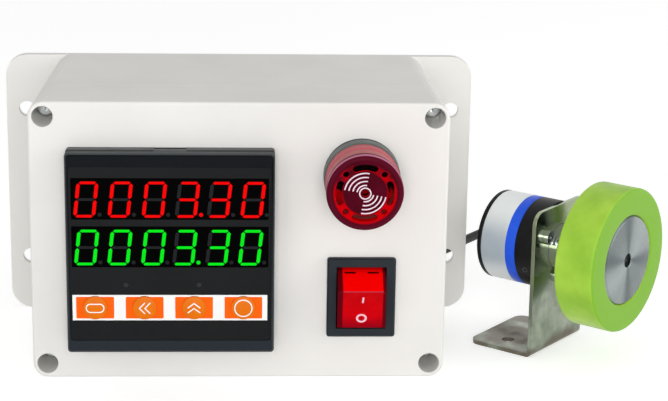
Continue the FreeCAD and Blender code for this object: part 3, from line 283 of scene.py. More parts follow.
def bar(start, end, width):
    """Hexagonal bar between two corners of a digit: its ends are points cut at 45 degrees."""
    start = np.array(start, float)
    end = np.array(end, float)
    along = (end - start) / np.linalg.norm(end - start)
    across = np.array([-along[1], along[0]]) * width / 2
    tip = along * bar_gap
    shoulder = along * (bar_gap + width / 2)
    return [start + tip, start + shoulder + across, end - shoulder + across,
            end - tip, end - shoulder - across, start + shoulder - across]


def circle(radius, count, x=0.0, z=0.0):
    """Points round a circle, in x and z."""
    angle = np.linspace(0, 2 * np.pi, count, endpoint=False)
    return np.stack([x + radius * np.cos(angle), z + radius * np.sin(angle)], -1)


left_line = upright_bar / 2
right_line = digit_width - upright_bar / 2
low_line = level_bar / 2
top_line = digit_height - level_bar / 2
middle_line = digit_height / 2
bars = {
    "a": bar((left_line, top_line), (right_line, top_line), level_bar),
    "b": bar((right_line, middle_line), (right_line, top_line), upright_bar),
    "c": bar((right_line, low_line), (right_line, middle_line), upright_bar),
    "d": bar((left_line, low_line), (right_line, low_line), level_bar),
    "e": bar((left_line, low_line), (left_line, middle_line), upright_bar),
    "f": bar((left_line, middle_line), (left_line, top_line), upright_bar),
    "g": bar((left_line, middle_line), (right_line, middle_line), level_bar),
}


def row_outlines(row, lit):
    """Outlines of a row's bars and dots that are lit, or of those that are off."""
    low = meter_z + row_rises[row] - digit_height / 2
    shapes = {"bars": [], "dots": []}
    for index, figure in enumerate(reading):
        left = digit_left + index * row_pitches[row] + row_shifts[row][index]
        for letter, outline in bars.items():
            if (letter in bars_of_digit[figure]) == lit:
                outline = np.array(outline)
                outline[:, 0] += left + outline[:, 1] * digit_slant
                outline[:, 1] += low
                shapes["bars"].append(outline)
        if (index == dot_after) == lit:
            shapes["dots"].append(circle(dot_radius, 20, left + digit_width + dot_offset,
                                         low + dot_radius + dot_rise))
    return shapes


def glowing(name, light, dark):
    """Material of a lamp's diffuser: it gives off its own colour, with soft clouds in it."""
    material = bpy.data.materials.new(name)
    material.use_nodes = True
    place = add_node(material, "ShaderNodeTexCoord", {}, {}).outputs["Object"]
    cloud = add_node(material, "ShaderNodeTexNoise", {}, {"Vector": place, "Scale": 1000 / lit_cloud})
    shade = add_node(material, "ShaderNodeMix", {"data_type": "RGBA"},
                     {0: cloud.outputs["Fac"], 6: linear(light), 7: linear(dark)})
    fill(material, shader_of(material),
         {"Emission Color": shade.outputs[2], "Base Color": (0.0, 0.0, 0.0, 1.0),
          "Emission Strength": 1.0, "Specular IOR Level": 0.0})
    return material


# Diffused light-emitting segments, seen through the smoked filter
lit_red = glowing("lit_red_segments", "FF1410", "F60006")
lit_green = glowing("lit_green_segments", "14F62A", "04E814")
# The same segments when off: a dark grey just above the filter's black
unlit_grey = finish("unlit_grey_segments", "202123", "1C1D1F", 0.5, 0.02, 2, 0.3, 0.001,
                    {"Specular IOR Level": 0.05}, 0.01)
for row in row_rises:
    for state, paint in (("lit", lit_red if row == "upper" else lit_green), ("off", unlit_grey)):
        for kind, outlines in row_outlines(row, state == "lit").items():
            points, faces = prisms(outlines, window_front - film / 2, film)
            piece_from(f"{row}_{state}_{kind}", points, faces, paint, "enclosure", "display")

# Key row: a white printed strip with four orange panels, and through each a domed orange key
# with a line symbol. The two lamps above it are off.

key_shift = -0.45
key_pitch = 17.15
key_drop = 19.3
key_x = [meter_x + key_shift + key_pitch * (step - 1.5) for step in range(4)]
key_z = meter_z - key_drop
key_names = ("set_key", "shift_key", "up_key", "reset_key")
face_front = -49.15
key_radius = 4.15
key_hole = 4.3
dome_rise = 0.45
dome_depth = 0.9
dome_front = face_front - dome_depth
dome_ball = (key_radius ** 2 + dome_rise ** 2) / (2 * dome_rise)
strip_edges = (meter_x - 34.0, meter_x + 33.6)
strip_height = 9.3
panel_width = 13.1
panel_height = 7.9
panel_corner = 0.4
panel_gap = 0.04
line_width = 0.4
path_step = 0.5
pill_size = (6.1, 3.0)
pill_corner = 1.45
left_arrow = np.array([(1.0, 2.0), (-0.9, 0.0), (1.0, -2.0)])
left_places = (-0.9, 1.0)
up_arrow = np.array([(-2.2, -0.8), (0.0, 0.9), (2.2, -0.8)])
up_places = (-0.9, 0.9)
ring_radius = 3.0


def rounded_outline(width, height, radius, count):
    """Points round a rectangle with round corners: each corner is a quarter circle about its own
    centre, and each side between two corners is straight, with count points on either."""
    angle = np.linspace(0, np.pi / 2, count)
    corners = []
    for turn, (side, level) in enumerate(((1, 1), (-1, 1), (-1, -1), (1, -1))):
        around = angle + turn * np.pi / 2
        centre = np.array([side * (width / 2 - radius), level * (height / 2 - radius)])
        corners.append(centre + radius * np.stack([np.cos(around), np.sin(around)], -1))
    share = np.linspace(0, 1, count + 2)[1:-1, None]
    runs = [before[-1] * (1 - share) + after[0] * share
            for before, after in zip(corners, corners[1:] + corners[:1])]
    return np.concatenate([part for pair in zip(corners, runs) for part in pair])


def band(inner, outer, front, back):
    """Closed ring between two outlines with as many points: at each point the section is a
    rectangle from the inner to the outer outline and from the front to the back depth."""
    count = len(inner)
    points = np.zeros((count, 4, 3))
    for column, (outline, depth) in enumerate(((inner, front), (outer, front), (outer, back), (inner, back))):
        points[:, column, 0] = outline[:, 0]
        points[:, column, 1] = depth
        points[:, column, 2] = outline[:, 1]
    return points, grid_faces(count, 4, True, True)


def grid_faces(rows, columns, rows_close, columns_close):
    """Quads of a grid of points, with the last row or column joined to the first where it closes."""
    r, c = np.indices((rows - (not rows_close), columns - (not columns_close)))
    below = (r + 1) % rows
    beside = (c + 1) % columns
    quads = np.stack([r * columns + c, below * columns + c,
                      below * columns + beside, r * columns + beside], -1)
    return quads.reshape(-1, 4).tolist()


def holed_cell(left, right, x, front, back):
    """One key's length of the white strip: each point of its outline is joined to the point of the
    key's hole in the same direction from the hole's centre."""
    outer = rounded_outline(right - left, strip_height, 0.01, 14) + [(left + right) / 2, key_z]
    away = outer - [x, key_z]
    inner = [x, key_z] + key_hole * away / np.linalg.norm(away, axis=1)[:, None]
    return band(inner, outer, front, back)


def ribbon(left, right, front, back):
    """Flat bar between two lines with as many points, closed at both ends."""
    points, _ = band(left, right, front, back)
    count = len(left)
    faces = grid_faces(count, 4, False, True)
    return points, faces + [[0, 1, 2, 3], [4 * count - 1, 4 * count - 2, 4 * count - 3, 4 * count - 4]]


def panel_side(x, side, front, back):
    """Half of a key's orange panel: at each height it goes from the key's edge, where a circle has
    the width sqrt(r^2 - z^2), to the panel's side, which draws in at the corners."""
    rise = np.sin(np.linspace(-np.pi / 2, np.pi / 2, 41)) * panel_height / 2
    near = np.sqrt((key_radius + panel_gap) ** 2 - rise ** 2)
    into = np.maximum(0, np.abs(rise) - panel_height / 2 + panel_corner)
    far = panel_width / 2 - panel_corner + np.sqrt(panel_corner ** 2 - into ** 2)
    inner = np.stack([x + side * near, key_z + rise], -1)
    outer = np.stack([x + side * far, key_z + rise], -1)
    return ribbon(inner, outer, front, back)


def joined(parts):
    """Points and faces of several shapes as one."""
    points = []
    faces = []
    start = 0
    for part_points, part_faces in parts:
        part_points = np.asarray(part_points).reshape(-1, 3)
        points.append(part_points)
        faces += [[corner + start for corner in face] for face in part_faces]
        start += len(part_points)
    return np.concatenate(points), faces


def on_dome(points, x):
    """Moves flat points back on a key's dome, to a ball's depth at their distance from its middle."""
    points = np.array(points, float)
    reach = (points[..., 0] - x) ** 2 + (points[..., 2] - key_z) ** 2
    points[..., 1] += dome_front + dome_ball - np.sqrt(dome_ball ** 2 - reach)
    return points


def stroke(path, width, front, back):
    """Drawn line of even width along a path in x and z: each point moves to both sides along the
    bisector of its two runs, and further where they turn, so that the width stays the same."""
    path = np.asarray(path, float)
    runs = np.diff(path, axis=0)
    runs /= np.linalg.norm(runs, axis=1)[:, None]
    before = np.concatenate([runs[:1], runs])
    after = np.concatenate([runs, runs[-1:]])
    middle = before + after
    middle /= np.linalg.norm(middle, axis=1)[:, None]
    across = np.stack([-middle[:, 1], middle[:, 0]], -1)
    half = width / 2 / np.sum(middle * before, axis=1)
    left = path + across * half[:, None]
    right = path - across * half[:, None]
    return ribbon(left, right, front, back)


def divided(path, step):
    """The same path with points at least every step."""
    parts = []
    for start, end in zip(path, path[1:]):
        start = np.array(start, float)
        end = np.array(end, float)
        count = max(1, int(np.ceil(np.linalg.norm(end - start) / step)))
        parts.append(start + (end - start) * np.linspace(0, 1, count, endpoint=False)[:, None])
    return np.concatenate(parts + [np.array(path[-1:], float)])


# Screen-printed inks on the face: a flat white and a flat orange
white_ink = finish("white_screen_ink", "F9F9F8", "F6F6F5", 0.5, 0.02, 4, 0.2, 0.001,
                   {"Specular IOR Level": 0.2}, 0.01)
orange_ink = finish("orange_screen_ink", "FF6600", "FA6200", 0.5, 0.02, 4, 0.2, 0.001,
                    {"Specular IOR Level": 0.1}, 0.01)
# Silicone keys: a slightly deeper orange with a soft sheen
orange_key = finish("orange_silicone_key", "EC7800", "E47000", 0.42, 0.03, 5, 0.25, 0.003,
                    {"Specular IOR Level": 0.15})
# Lamp diffuser, not lit: a grey dot behind the dark sheet
lamp_diffuser = finish("unlit_grey_diffuser", "323234", "2E2E30", 0.35, 0.03, 2, 0.3, 0.001,
                       {"Specular IOR Level": 0.1})
cell_edges = [strip_edges[0]] + [(a + b) / 2 for a, b in zip(key_x, key_x[1:])] + [strip_edges[1]]
cells = []
panels = []
for x, left, right in zip(key_x, cell_edges, cell_edges[1:]):
    cells.append(holed_cell(left, right, x, face_front - film / 2, face_front + film))
    for side in (-1, 1):
        panels.append(panel_side(x, side, face_front - film * 2, face_front + film))
piece_from("key_strip", *joined(cells), white_ink, "enclosure", "face")
piece_from("key_panels", *joined(panels), orange_ink, "enclosure", "key")
pill = [rounded_outline(pill_size[0] + 2 * side, pill_size[1] + 2 * side, pill_corner + side, 12)
        for side in (-line_width / 2, line_width / 2)]
shapes = {
    "set_key": [band(*pill, -film, film)],
    "shift_key": [stroke(divided(left_arrow + (x, 0), path_step), line_width, -film, film)
                  for x in left_places],
    "up_key": [stroke(divided(up_arrow + (0, z), path_step), line_width, -film, film)
               for z in up_places],
    "reset_key": [band(circle(ring_radius - line_width / 2, 48),
                       circle(ring_radius + line_width / 2, 48), -film, film)],
}
for key, x in zip(key_names, key_x):
    dressed(orange_key, key)
    points, faces = joined(shapes[key])
    points = points + [x, 0, key_z]
    piece_from(key + "_symbol", on_dome(points, x), faces, white_ink, key, "key")
dressed(lamp_diffuser, "indicator_lamps")

# Inside the meter: two green boards. The front one carries the digit blocks and four small push
# switches, and the rear one a transformer, a relay and a green screw terminal block. None of them
# shows from outside.

# Epoxy glass board under a green solder mask
board_green = finish("green_solder_mask", "1E6B3A", "175A30", 0.35, 0.05, 4, 0.4, 0.004)
# Black moulded nylon of switches and relays
small_black = finish("black_moulded_nylon", "191919", "131313", 0.5, 0.05, 5, 0.3, 0.005)
# Stacked steel sheets and taped windings, painted grey
core_grey = finish("varnished_transformer_core", "5B5B5C", "474748", 0.5, 0.08, 2, 0.5, 0.02,
                   {"Metallic": 0.4})
# Green polyamide of screw terminals
terminal_green = finish("green_polyamide_terminals", "2F8F4C", "267A40", 0.45, 0.04, 5, 0.3, 0.005)
dressed(board_green, "display_board", "main_board")
dressed(small_black, "upper_display", "lower_display", "key_switches", "output_relay")
dressed(core_grey, "power_transformer")
dressed(terminal_green, "terminal_block")
dressed(zinc_plate, "terminal_screws")

# Sounder: a grey base ring and a red clear cap with a turned step and a rounded rim, with sound
# slots in its face, over a black capsule. The barrel goes through the lid, and a nut holds it from
# behind on a rubber ring.

sounder_x = 42.4
sounder_z = 74.7
lens_face = -63.0
wave_radii = (2.85, 4.25, 5.65, 7.05)
wave_width = 0.46
wave_arcs = ((79, 170), (-101, -10))
middle_ring = (1.7, 2.12)
# Size of the patches that make the painted glow's lower edge uneven, and how far they move it
drop_size = 6.0
drop_lift = 22.0
# Where the cap's colour, its painted glow, its painted highlight and its painted see-through light
# change, each from a start to an end: radii from its middle, heights above it, and depths behind its face
painted_glow_ring_inside = (7.2, 8.0)
painted_glow_ring_outside = (10.2, 11.2)
painted_glow_height = (-11.0, -3.0)
rim_inside = (11.2, 11.8)
painted_gleam_height = (-2.0, 8.0)
slot_depth = (0.05, 0.15)
shoulder_front = (0.5, 0.7)
shoulder_back = (2.1, 2.3)
skirt_painted_light_bands = ((5.0, 5.2, "C47474"), (10.7, 10.9, "D06474"), (12.2, 12.4, "C47474"), (15.4, 16.0, "D86470"))
# Where the capsule's painted red glow changes: radii from the cap's middle, and heights above it
capsule_painted_glow_middle = (2.6, 3.0)
capsule_painted_glow_height = (-16.0, -13.0)

# Glass-filled nylon: greenish grey and satin
sounder_grey = finish("grey_moulded_nylon", "525B59", "4A5351", 0.45, 0.04, 8, 0.3, 0.006)


def from_cap(material):
    """Sockets of a cap's point: its three distances from the middle of the face, its radius, and a
    height that noise moves up and down."""
    place = add_node(material, "ShaderNodeTexCoord", {}, {}).outputs["Object"]
    offset = add_node(material, "ShaderNodeVectorMath", {"operation": "SUBTRACT"},
                      {0: place, 1: (sounder_x / 1000, lens_face / 1000, sounder_z / 1000)}).outputs["Vector"]
    around = add_node(material, "ShaderNodeVectorMath", {"operation": "MULTIPLY"},
                      {0: offset, 1: (1.0, 0.0, 1.0)}).outputs["Vector"]
    radius = add_node(material, "ShaderNodeVectorMath", {"operation": "LENGTH"}, {0: around}).outputs["Value"]
    away = add_node(material, "ShaderNodeSeparateXYZ", {}, {0: offset}).outputs
    drops = add_node(material, "ShaderNodeTexNoise", {}, {"Vector": place, "Scale": 1000 / drop_size})
    lowness = add_node(material, "ShaderNodeMath", {"operation": "MULTIPLY_ADD"},
                       {0: drops.outputs["Fac"], 1: -drop_lift / 1000, 2: away["Z"]}).outputs[0]
    return away, radius, lowness


def crimson_polycarbonate():
    """Clear polycarbonate dyed crimson. Its thin skirt is painted a pale pink for the pale surroundings
    seen through it, with a painted brighter line at each step. The thick rim and the face are deep
    crimson, and the rim's shoulder has a painted pink highlight above. A painted signal red glow lights
    the face in a ring between the slots, most of it in the lower half, and the slots' walls."""
    material = finish("crimson_clear_polycarbonate", "560A1E", "460816", 0.2, 0.03, 7, 0.8, 0.002,
                      {"Specular IOR Level": 0.01})
    deep = own_colour(material)
    away, radius, lowness = from_cap(material)
    # Painted glow: signal red in a ring between the slots and on their walls
    glow = blended(material, lowness, *painted_glow_height, "C60008", deep)
    inner = blended(material, radius, *painted_glow_ring_inside, deep, glow)
    face = blended(material, radius, *painted_glow_ring_outside, inner, deep)
    walls = blended(material, away["Y"], *slot_depth, face, "FF1018")
    # Painted highlight: a pink line on the rim's shoulder, in the upper half
    gleam = blended(material, away["Z"], *painted_gleam_height, "561022", "C87896")
    shoulder = blended(material, away["Y"], *shoulder_front, "561022", gleam)
    back = blended(material, away["Y"], *shoulder_back, shoulder, "5E0A20")
    shade = blended(material, radius, *rim_inside, walls, back)
    # Painted see-through light on the skirt: a pale pink, brighter at its steps
    for start, end, last in skirt_painted_light_bands:
        shade = blended(material, away["Y"], start, end, shade, last)
    return recoloured(material, shade)


def black_in_painted_red_light():
    """Black nylon of the capsule behind the cap, with the cap's red light painted on it in the lower
    half and in the middle."""
    material = finish("black_nylon_in_painted_red_light", "180508", "100305", 0.5, 0.05, 5, 0.3, 0.005,
                      {"Specular IOR Level": 0.02})
    _, radius, lowness = from_cap(material)
    lower = blended(material, lowness, *capsule_painted_glow_height, "D80010", own_colour(material))
    return recoloured(material, blended(material, radius, *capsule_painted_glow_middle, "D4000C", lower))


# Pad-printed ink on the cap: an even white, tinted by the red below it
pink_white_ink = finish("white_pad_print", "F6DCE8", "F0D2E0", 0.45, 0.02, 3, 0.2, 0.001)
dressed(sounder_grey, "sounder_body", "sounder_nut")
dressed(crimson_polycarbonate(), "sounder_lens")
dressed(black_in_painted_red_light(), "sounder_capsule")
dressed(seal_rubber, "sounder_seal")
dressed(zinc_plate, "sounder_pins")


def arc_path(radius, first, last):
    """Points on an arc between two directions in degrees."""
    angle = np.radians(np.linspace(first, last, 24))
    return np.stack([sounder_x + radius * np.cos(angle), sounder_z + radius * np.sin(angle)], -1)


waves = [stroke(arc_path(radius, *arc), wave_width, lens_face - film, lens_face + film)
         for radius in wave_radii for arc in wave_arcs]
waves.append(band(*(circle(radius, 40, sounder_x, sounder_z) for radius in middle_ring),
                  lens_face - film, lens_face + film))
piece_from("sounder_waves", *joined(waves), pink_white_ink, "enclosure", "sounder_red")

# Rocker switch: a blue-black frame that snaps into the lid round a clear red paddle. The paddle
# rocks on two pins and is marked with a bar and a ring, for on and off.

rocker_x = 43.0
rocker_z = 30.4
pivot_y = -36.0
rocker_tilt = np.radians(14.0)
paddle_face = 11.2
paddle_hollow = 0.8
paddle_ridge = 7.5
paddle_shoulder = (3.4, 10.57)
on_rise = 3.65
off_rise = -3.85
slot_size = (3.9, 0.7)
slot_corner = 0.1
slot_spread = 4.1
slot_height = 8.3
cap_shift = 0.35
mark_step = 0.4
on_bar = np.array([(0.29, -1.2), (0.49, 1.2)])
on_width = 0.66
off_ring = ((1.18, 1.0), (1.9152, 1.68))
# Where the paddle's painted light and shade change, each from a start to an end: heights, and
# distances from its middle to the side
foot_painted_shade_height = (19.0, 26.0)
painted_ridge_bottom = (34.6, 34.8)
painted_ridge_top = (35.0, 35.1)
cap_painted_shade_side = (6.9, 7.2)


def red_polycarbonate():
    """Clear polycarbonate dyed signal red, with painted light and shade: the end that stands out is
    painted brightest, the face is painted deeper downwards from a painted pale highlight on the
    ridge, and beside the cap it is painted dark crimson."""
    material = finish("clear_red_polycarbonate", "D4000A", "C4000A", 0.2, 0.03, 4, 0.8, 0.001,
                      {"Specular IOR Level": 0.03})
    parts = place_parts(material)
    across = add_node(material, "ShaderNodeMath", {"operation": "SUBTRACT"},
                      {0: parts["X"], 1: (rocker_x + cap_shift) / 1000}).outputs[0]
    beside_cap = add_node(material, "ShaderNodeMath", {"operation": "ABSOLUTE"}, {0: across}).outputs[0]
    # Painted shade deepening downwards, a painted highlight on the ridge, painted light on the upper end, and
    # painted dark crimson beside the cap
    lower = blended(material, parts["Z"], *foot_painted_shade_height, "8A0016", own_colour(material))
    ridge = blended(material, parts["Z"], *painted_ridge_bottom, lower, "A83848")
    upper = blended(material, parts["Z"], *painted_ridge_top, ridge, "FF0000")
    return recoloured(material, blended(material, beside_cap, *cap_painted_shade_side, upper, "64000E"))


# Blue-black nylon of the switch, satin
switch_nylon = finish("blue_black_switch_nylon", "252B31", "20272D", 0.4, 0.04, 10, 0.3, 0.005,
                      {"Specular IOR Level": 0.15})
dressed(switch_nylon, "rocker_frame")
dressed(red_polycarbonate(), "rocker_paddle")
dressed(zinc_plate, "rocker_blades")


def tilted(x, reach, rise):
    """Points of the paddle, from their distance before the pivot and above it, turned as it rests."""
    y = pivot_y - reach * np.cos(rocker_tilt) - rise * np.sin(rocker_tilt)
    z = rocker_z - reach * np.sin(rocker_tilt) + rise * np.cos(rocker_tilt)
    return np.stack([rocker_x + x, y, z], -1)


def on_paddle(points):
    """Lays marks drawn in x and rise on the paddle's hollow face, an arc through the two ridges and
    its sunk middle."""
    x, depth, rise = np.array(points, float).reshape(-1, 3).T
    ball = (paddle_ridge ** 2 + paddle_hollow ** 2) / (2 * paddle_hollow)
    sunk = paddle_hollow - (ball - np.sqrt(ball ** 2 - rise ** 2))
    return tilted(x, paddle_face - sunk - depth, rise)


def on_end(points):
    """Lays slots drawn in x and height on the paddle's upper end, which slopes from its ridge
    back to its shoulder."""
    x, depth, height = np.array(points, float).reshape(-1, 3).T
    slope = np.array([paddle_shoulder[0] - paddle_face, paddle_shoulder[1] - paddle_ridge])
    slope /= np.linalg.norm(slope)
    return tilted(x, paddle_face + height * slope[0] - depth * slope[1],
                  paddle_ridge + height * slope[1] + depth * slope[0])


on_mark = stroke(divided(on_bar + (0.0, on_rise), mark_step), on_width, -film, film)
off_mark = band(*(circle(1.0, 36) * size + (0.0, off_rise) for size in off_ring), -film, film)
points, faces = joined([on_mark, off_mark])
# Pad-printed ink over the red, which tints it
pink_ink = finish("pink_pad_print", "FFCAD6", "FAC0CE", 0.45, 0.02, 3, 0.2, 0.001)
piece_from("rocker_marks", on_paddle(points), faces, pink_ink, "paddle", "rocker_red")
# Painted shade: dark films on the paddle's end for its shaded inside, seen through two slots in it
slot_painted_shade = finish("dark_crimson_painted_slot_shade", "4A0004", "380002", 0.5, 0.03, 2, 0.3, 0.001,
                   {"Specular IOR Level": 0.0})
slot = rounded_outline(*slot_size, slot_corner, 4)
slots = [prisms([slot + (side * slot_spread, slot_height)], -film, 2 * film) for side in (-1, 1)]
points, faces = joined(slots)
piece_from("paddle_slot_painted_shade", on_end(points), faces, slot_painted_shade, "paddle", "rocker_red")

# Cable glands: black nylon sleeves with hexagons and domed nuts in the back wall. One clamps the
# encoder's cable in a rubber seal, and the other is closed with a rubber plug.

# Soft black rubber, slightly dusty
soft_rubber = finish("soft_black_rubber", "202020", "161616", 0.7, 0.05, 3, 0.3, 0.01)
dressed(small_black, "encoder_gland", "encoder_gland_dome", "power_gland", "power_gland_dome",
        "gland_lock_nuts")
dressed(soft_rubber, "encoder_gland_seal", "power_gland_plug")

# Bracket: a 1.5 mm steel strip bent square, bare apart from a greenish tint. Three pan-head
# screws hold the encoder on its upright, and two holes take the screws of its foot.

# Size of the cloudy stains, how far they shift the heights where the colour and the painted
# reflection change, and those heights, each from a start to an end
cloud_size = 16.0
cloud_rise = 24.0
foot_tone = (13.0, 17.0)
upright_painted_reflection = (33.0, 46.0)


def oiled_steel():
    """Rolled steel under a film of oil: greenish and half bright, with cloudy stains. Near the encoder
    an even pale olive reflection is painted on, and it is brownish at its foot."""
    material = finish("oiled_rolled_steel", "9CA494", "767E70", 0.17, 0.08, 7, 0.5, 0.004,
                      {"Metallic": 1.0})
    place = add_node(material, "ShaderNodeTexCoord", {}, {}).outputs["Object"]
    clouds = add_node(material, "ShaderNodeTexNoise", {}, {"Vector": place, "Scale": 1000 / cloud_size})
    height = add_node(material, "ShaderNodeSeparateXYZ", {}, {0: place}).outputs["Z"]
    level = add_node(material, "ShaderNodeMath", {"operation": "MULTIPLY_ADD"},
                     {0: clouds.outputs["Fac"], 1: cloud_rise / 1000, 2: height}).outputs[0]
    lower = blended(material, level, *foot_tone, "6A6458", own_colour(material))
    # Painted reflection: an even pale olive on the upright near the encoder
    return recoloured(material, blended(material, level, *upright_painted_reflection, lower, "9AA488"))


dressed(oiled_steel(), "bracket")
dressed(zinc_plate, "bracket_screws")

# Encoder: a black anodised front body, a blue ring and a silver cover with a bare label, closed by
# a black cap. The ring is a profile carried round the shaft's axis, as on a lathe.

encoder_place = np.array([118.4, -7.0, 39.0])
encoder_turn = np.radians(39.0)
shaft_axis = (np.cos(encoder_turn), -np.sin(encoder_turn), 0.0)
body_radius = 16.6
ring_front = -9.7
cover_front = -13.8
shell_wall = 1.8
ring_edge = 0.25
clamp_screw_along = -5.6
clamp_screw_angle = -24.0
clamp_ring = (0.75, 1.05)
dyed_roughness = 0.38
turned_roughness = 0.18
# Where the boss turns bright, along the shaft, and where painted light pales the foil, above and below the
# shaft
boss_start = (-1.4, -1.3)
foil_painted_light = (3.0, 13.0)


def beside(points):
    """Places points given along the encoder's axis: turned about the upright, then moved."""
    points = np.asarray(points, float).reshape(-1, 3)
    x = encoder_place[0] + points[:, 0] * np.cos(encoder_turn) + points[:, 1] * np.sin(encoder_turn)
    y = encoder_place[1] - points[:, 0] * np.sin(encoder_turn) + points[:, 1] * np.cos(encoder_turn)
    return np.stack([x, y, encoder_place[2] + points[:, 2]], -1)


def turned(profile, count=128):
    """Ring turned about the encoder's axis: each point of a closed profile, given as its place
    along the axis and its radius, goes round a full circle."""
    profile = np.asarray(profile, float)
    angle = np.linspace(0, 2 * np.pi, count, endpoint=False)[:, None]
    along = np.broadcast_to(profile[None, :, 0], (count, len(profile)))
    points = np.stack([along, profile[:, 1] * np.cos(angle), profile[:, 1] * np.sin(angle)], -1)
    return beside(points), grid_faces(count, len(profile), True, True)


def rounded_profile(corners, radius, steps=5):
    """Closed profile with each corner replaced by a curve whose ends are a radius away from it, or
    nearer on a short side: a quadratic curve that leaves along one side and arrives along the next."""
    corners = np.asarray(corners, float)
    share = np.linspace(0, 1, steps)[:, None]
    curves = []
    for before, corner, after in zip(np.roll(corners, 1, 0), corners, np.roll(corners, -1, 0)):
        came = before - corner
        goes = after - corner
        start = corner + came * min(0.45, radius / np.linalg.norm(came))
        end = corner + goes * min(0.45, radius / np.linalg.norm(goes))
        curves.append(start * (1 - share) ** 2 + corner * 2 * share * (1 - share) + end * share ** 2)
    return np.concatenate(curves)


def on_body(points):
    """Lays an outline drawn in x and z on the body's round wall: x goes along the axis, and z is an
    arc's length, so its angle is z over the radius."""
    x, depth, z = np.array(points, float).reshape(-1, 3).T
    angle = np.radians(clamp_screw_angle) + z / body_radius
    radius = body_radius - depth
    return beside(np.stack([clamp_screw_along + x, -radius * np.cos(angle), radius * np.sin(angle)], -1))


# Anodised aluminium, dyed black: satin, with fine turning marks
black_anodised = finish("black_anodised_aluminium", "161617", "101011", dyed_roughness, 0.05, 6, 0.25,
                        0.004, {"Specular IOR Level": 0.15})


def from_encoder(material):
    """Socket of a point's distances from the middle of the encoder's front."""
    place = add_node(material, "ShaderNodeTexCoord", {}, {}).outputs["Object"]
    return add_node(material, "ShaderNodeVectorMath", {"operation": "SUBTRACT"},
                    {0: place, 1: encoder_place / 1000}).outputs["Vector"]


def along_shaft(material):
    """Socket of a point's distance from the encoder's front, along its shaft."""
    return add_node(material, "ShaderNodeVectorMath", {"operation": "DOT_PRODUCT"},
                    {0: from_encoder(material), 1: shaft_axis}).outputs["Value"]


def turned_body():
    """Body of black anodised aluminium, whose boss is turned bright again in front of the bracket."""
    material = black_anodised.copy()
    material.name = "anodised_body_with_bright_boss"
    along = along_shaft(material)
    shade = blended(material, along, *boss_start, own_colour(material), "A8ACA8")
    bare = add_node(material, "ShaderNodeMath", {"operation": "GREATER_THAN"},
                    {0: along, 1: sum(boss_start) / 2000}).outputs[0]
    rough = add_node(material, "ShaderNodeMath", {"operation": "MULTIPLY_ADD"},
                     {0: bare, 1: turned_roughness - dyed_roughness, 2: dyed_roughness}).outputs[0]
    fill(material, shader_of(material), {"Base Color": shade, "Metallic": bare, "Roughness": rough})
    return material


# Moulded nylon of the ring: a strong blue with a satin sheen
blue_nylon = finish("blue_moulded_nylon", "2A62F0", "2256E2", 0.36, 0.04, 8, 0.3, 0.004,
                    {"Specular IOR Level": 0.2})


def label_foil():
    """Silver foil round the cover: its middle is bluish, and painted light makes it paler towards the
    top and the bottom, where it lies edge-on to the light."""
    material = finish("silver_label_foil", "BCC6D0", "B2BDC9", 0.32, 0.04, 8, 0.4, 0.002,
                      {"Metallic": 0.15})
    above = add_node(material, "ShaderNodeMath", {"operation": "SUBTRACT"},
                     {0: place_parts(material)["Z"], 1: encoder_place[2] / 1000}).outputs[0]
    away = add_node(material, "ShaderNodeMath", {"operation": "ABSOLUTE"}, {0: above}).outputs[0]
    # Painted light: paler towards the top and the bottom
    return recoloured(material, blended(material, away, *foil_painted_light, own_colour(material), "EEF2F2"))


# Ground steel of the bearings and the hub's grub screw: bright, with a short sharp sheen
ground_steel = finish("ground_steel", "C8C8C6", "B4B4B2", 0.2, 0.05, 2, 0.15, 0.003, {"Metallic": 1.0})
# Blackened steel of the shaft and the clamp screw: dark grey and half dull
blackened_steel = finish("blackened_steel", "505052", "3A3A3C", 0.35, 0.05, 2, 0.15, 0.003,
                         {"Metallic": 0.8})
# Clear polycarbonate disc, polished
clear_disc = finish("clear_code_disc", "E8F0F0", "DCE6E6", 0.1, 0.02, 4, 0.5, 0.001,
                    {"Transmission Weight": 0.8})
inner = body_radius - shell_wall
ring = rounded_profile([(cover_front, inner), (ring_front, inner), (ring_front, body_radius),
                        (cover_front, body_radius)], ring_edge)
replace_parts(piece_from("blue_ring", *turned(ring), blue_nylon, "enclosure", "encoder_blue"), "encoder_ring")
points, faces = band(*(circle(radius, 24) for radius in clamp_ring), -film, film)
piece_from("clamp_screw_ring", on_body(points), faces, blackened_steel, "enclosure", "steel")
dressed(turned_body(), "encoder_body")
dressed(label_foil(), "encoder_cover")
dressed(black_anodised, "encoder_cap")
dressed(blackened_steel, "encoder_shaft")
dressed(ground_steel, "front_bearing", "rear_bearing")
dressed(clear_disc, "code_disc")
dressed(board_green, "sensor_board")
dressed(soft_rubber, "cable_grommet")

# Measuring wheel: a lime polyurethane tyre cast on an aluminium hub that is faced in a lathe. The
# hub has a bevelled rim, a bore for the shaft, and a boss behind with a grub screw.

wheel_back = 13.0
wheel_front = 28.5
wheel_radius = 26.53
hub_radius = 16.6
bore_radius = 2.5
boss_radius = 6.0
boss_back = 8.5
hollow_radius = 13.5
hollow_front = 19.0
hub_bevel = 0.8
bore_bevel = 0.3
hub_edge = 0.12
tyre_edge = 1.0
points_round = 192
face_painted_shade = (wheel_front - 0.6, wheel_front - 0.1)
turning_pitch = 0.35
turning_depth = 0.002
# Waves of the hub's painted sheen round its axis, each a turn in degrees and a power, and their
# sum's range in thousandths
painted_sheen_waves = ((20.0, 16.0), (-184.0, 16.0), (-90.0, 1.0))
painted_sheen_range = (-1000.0, 1000.0)


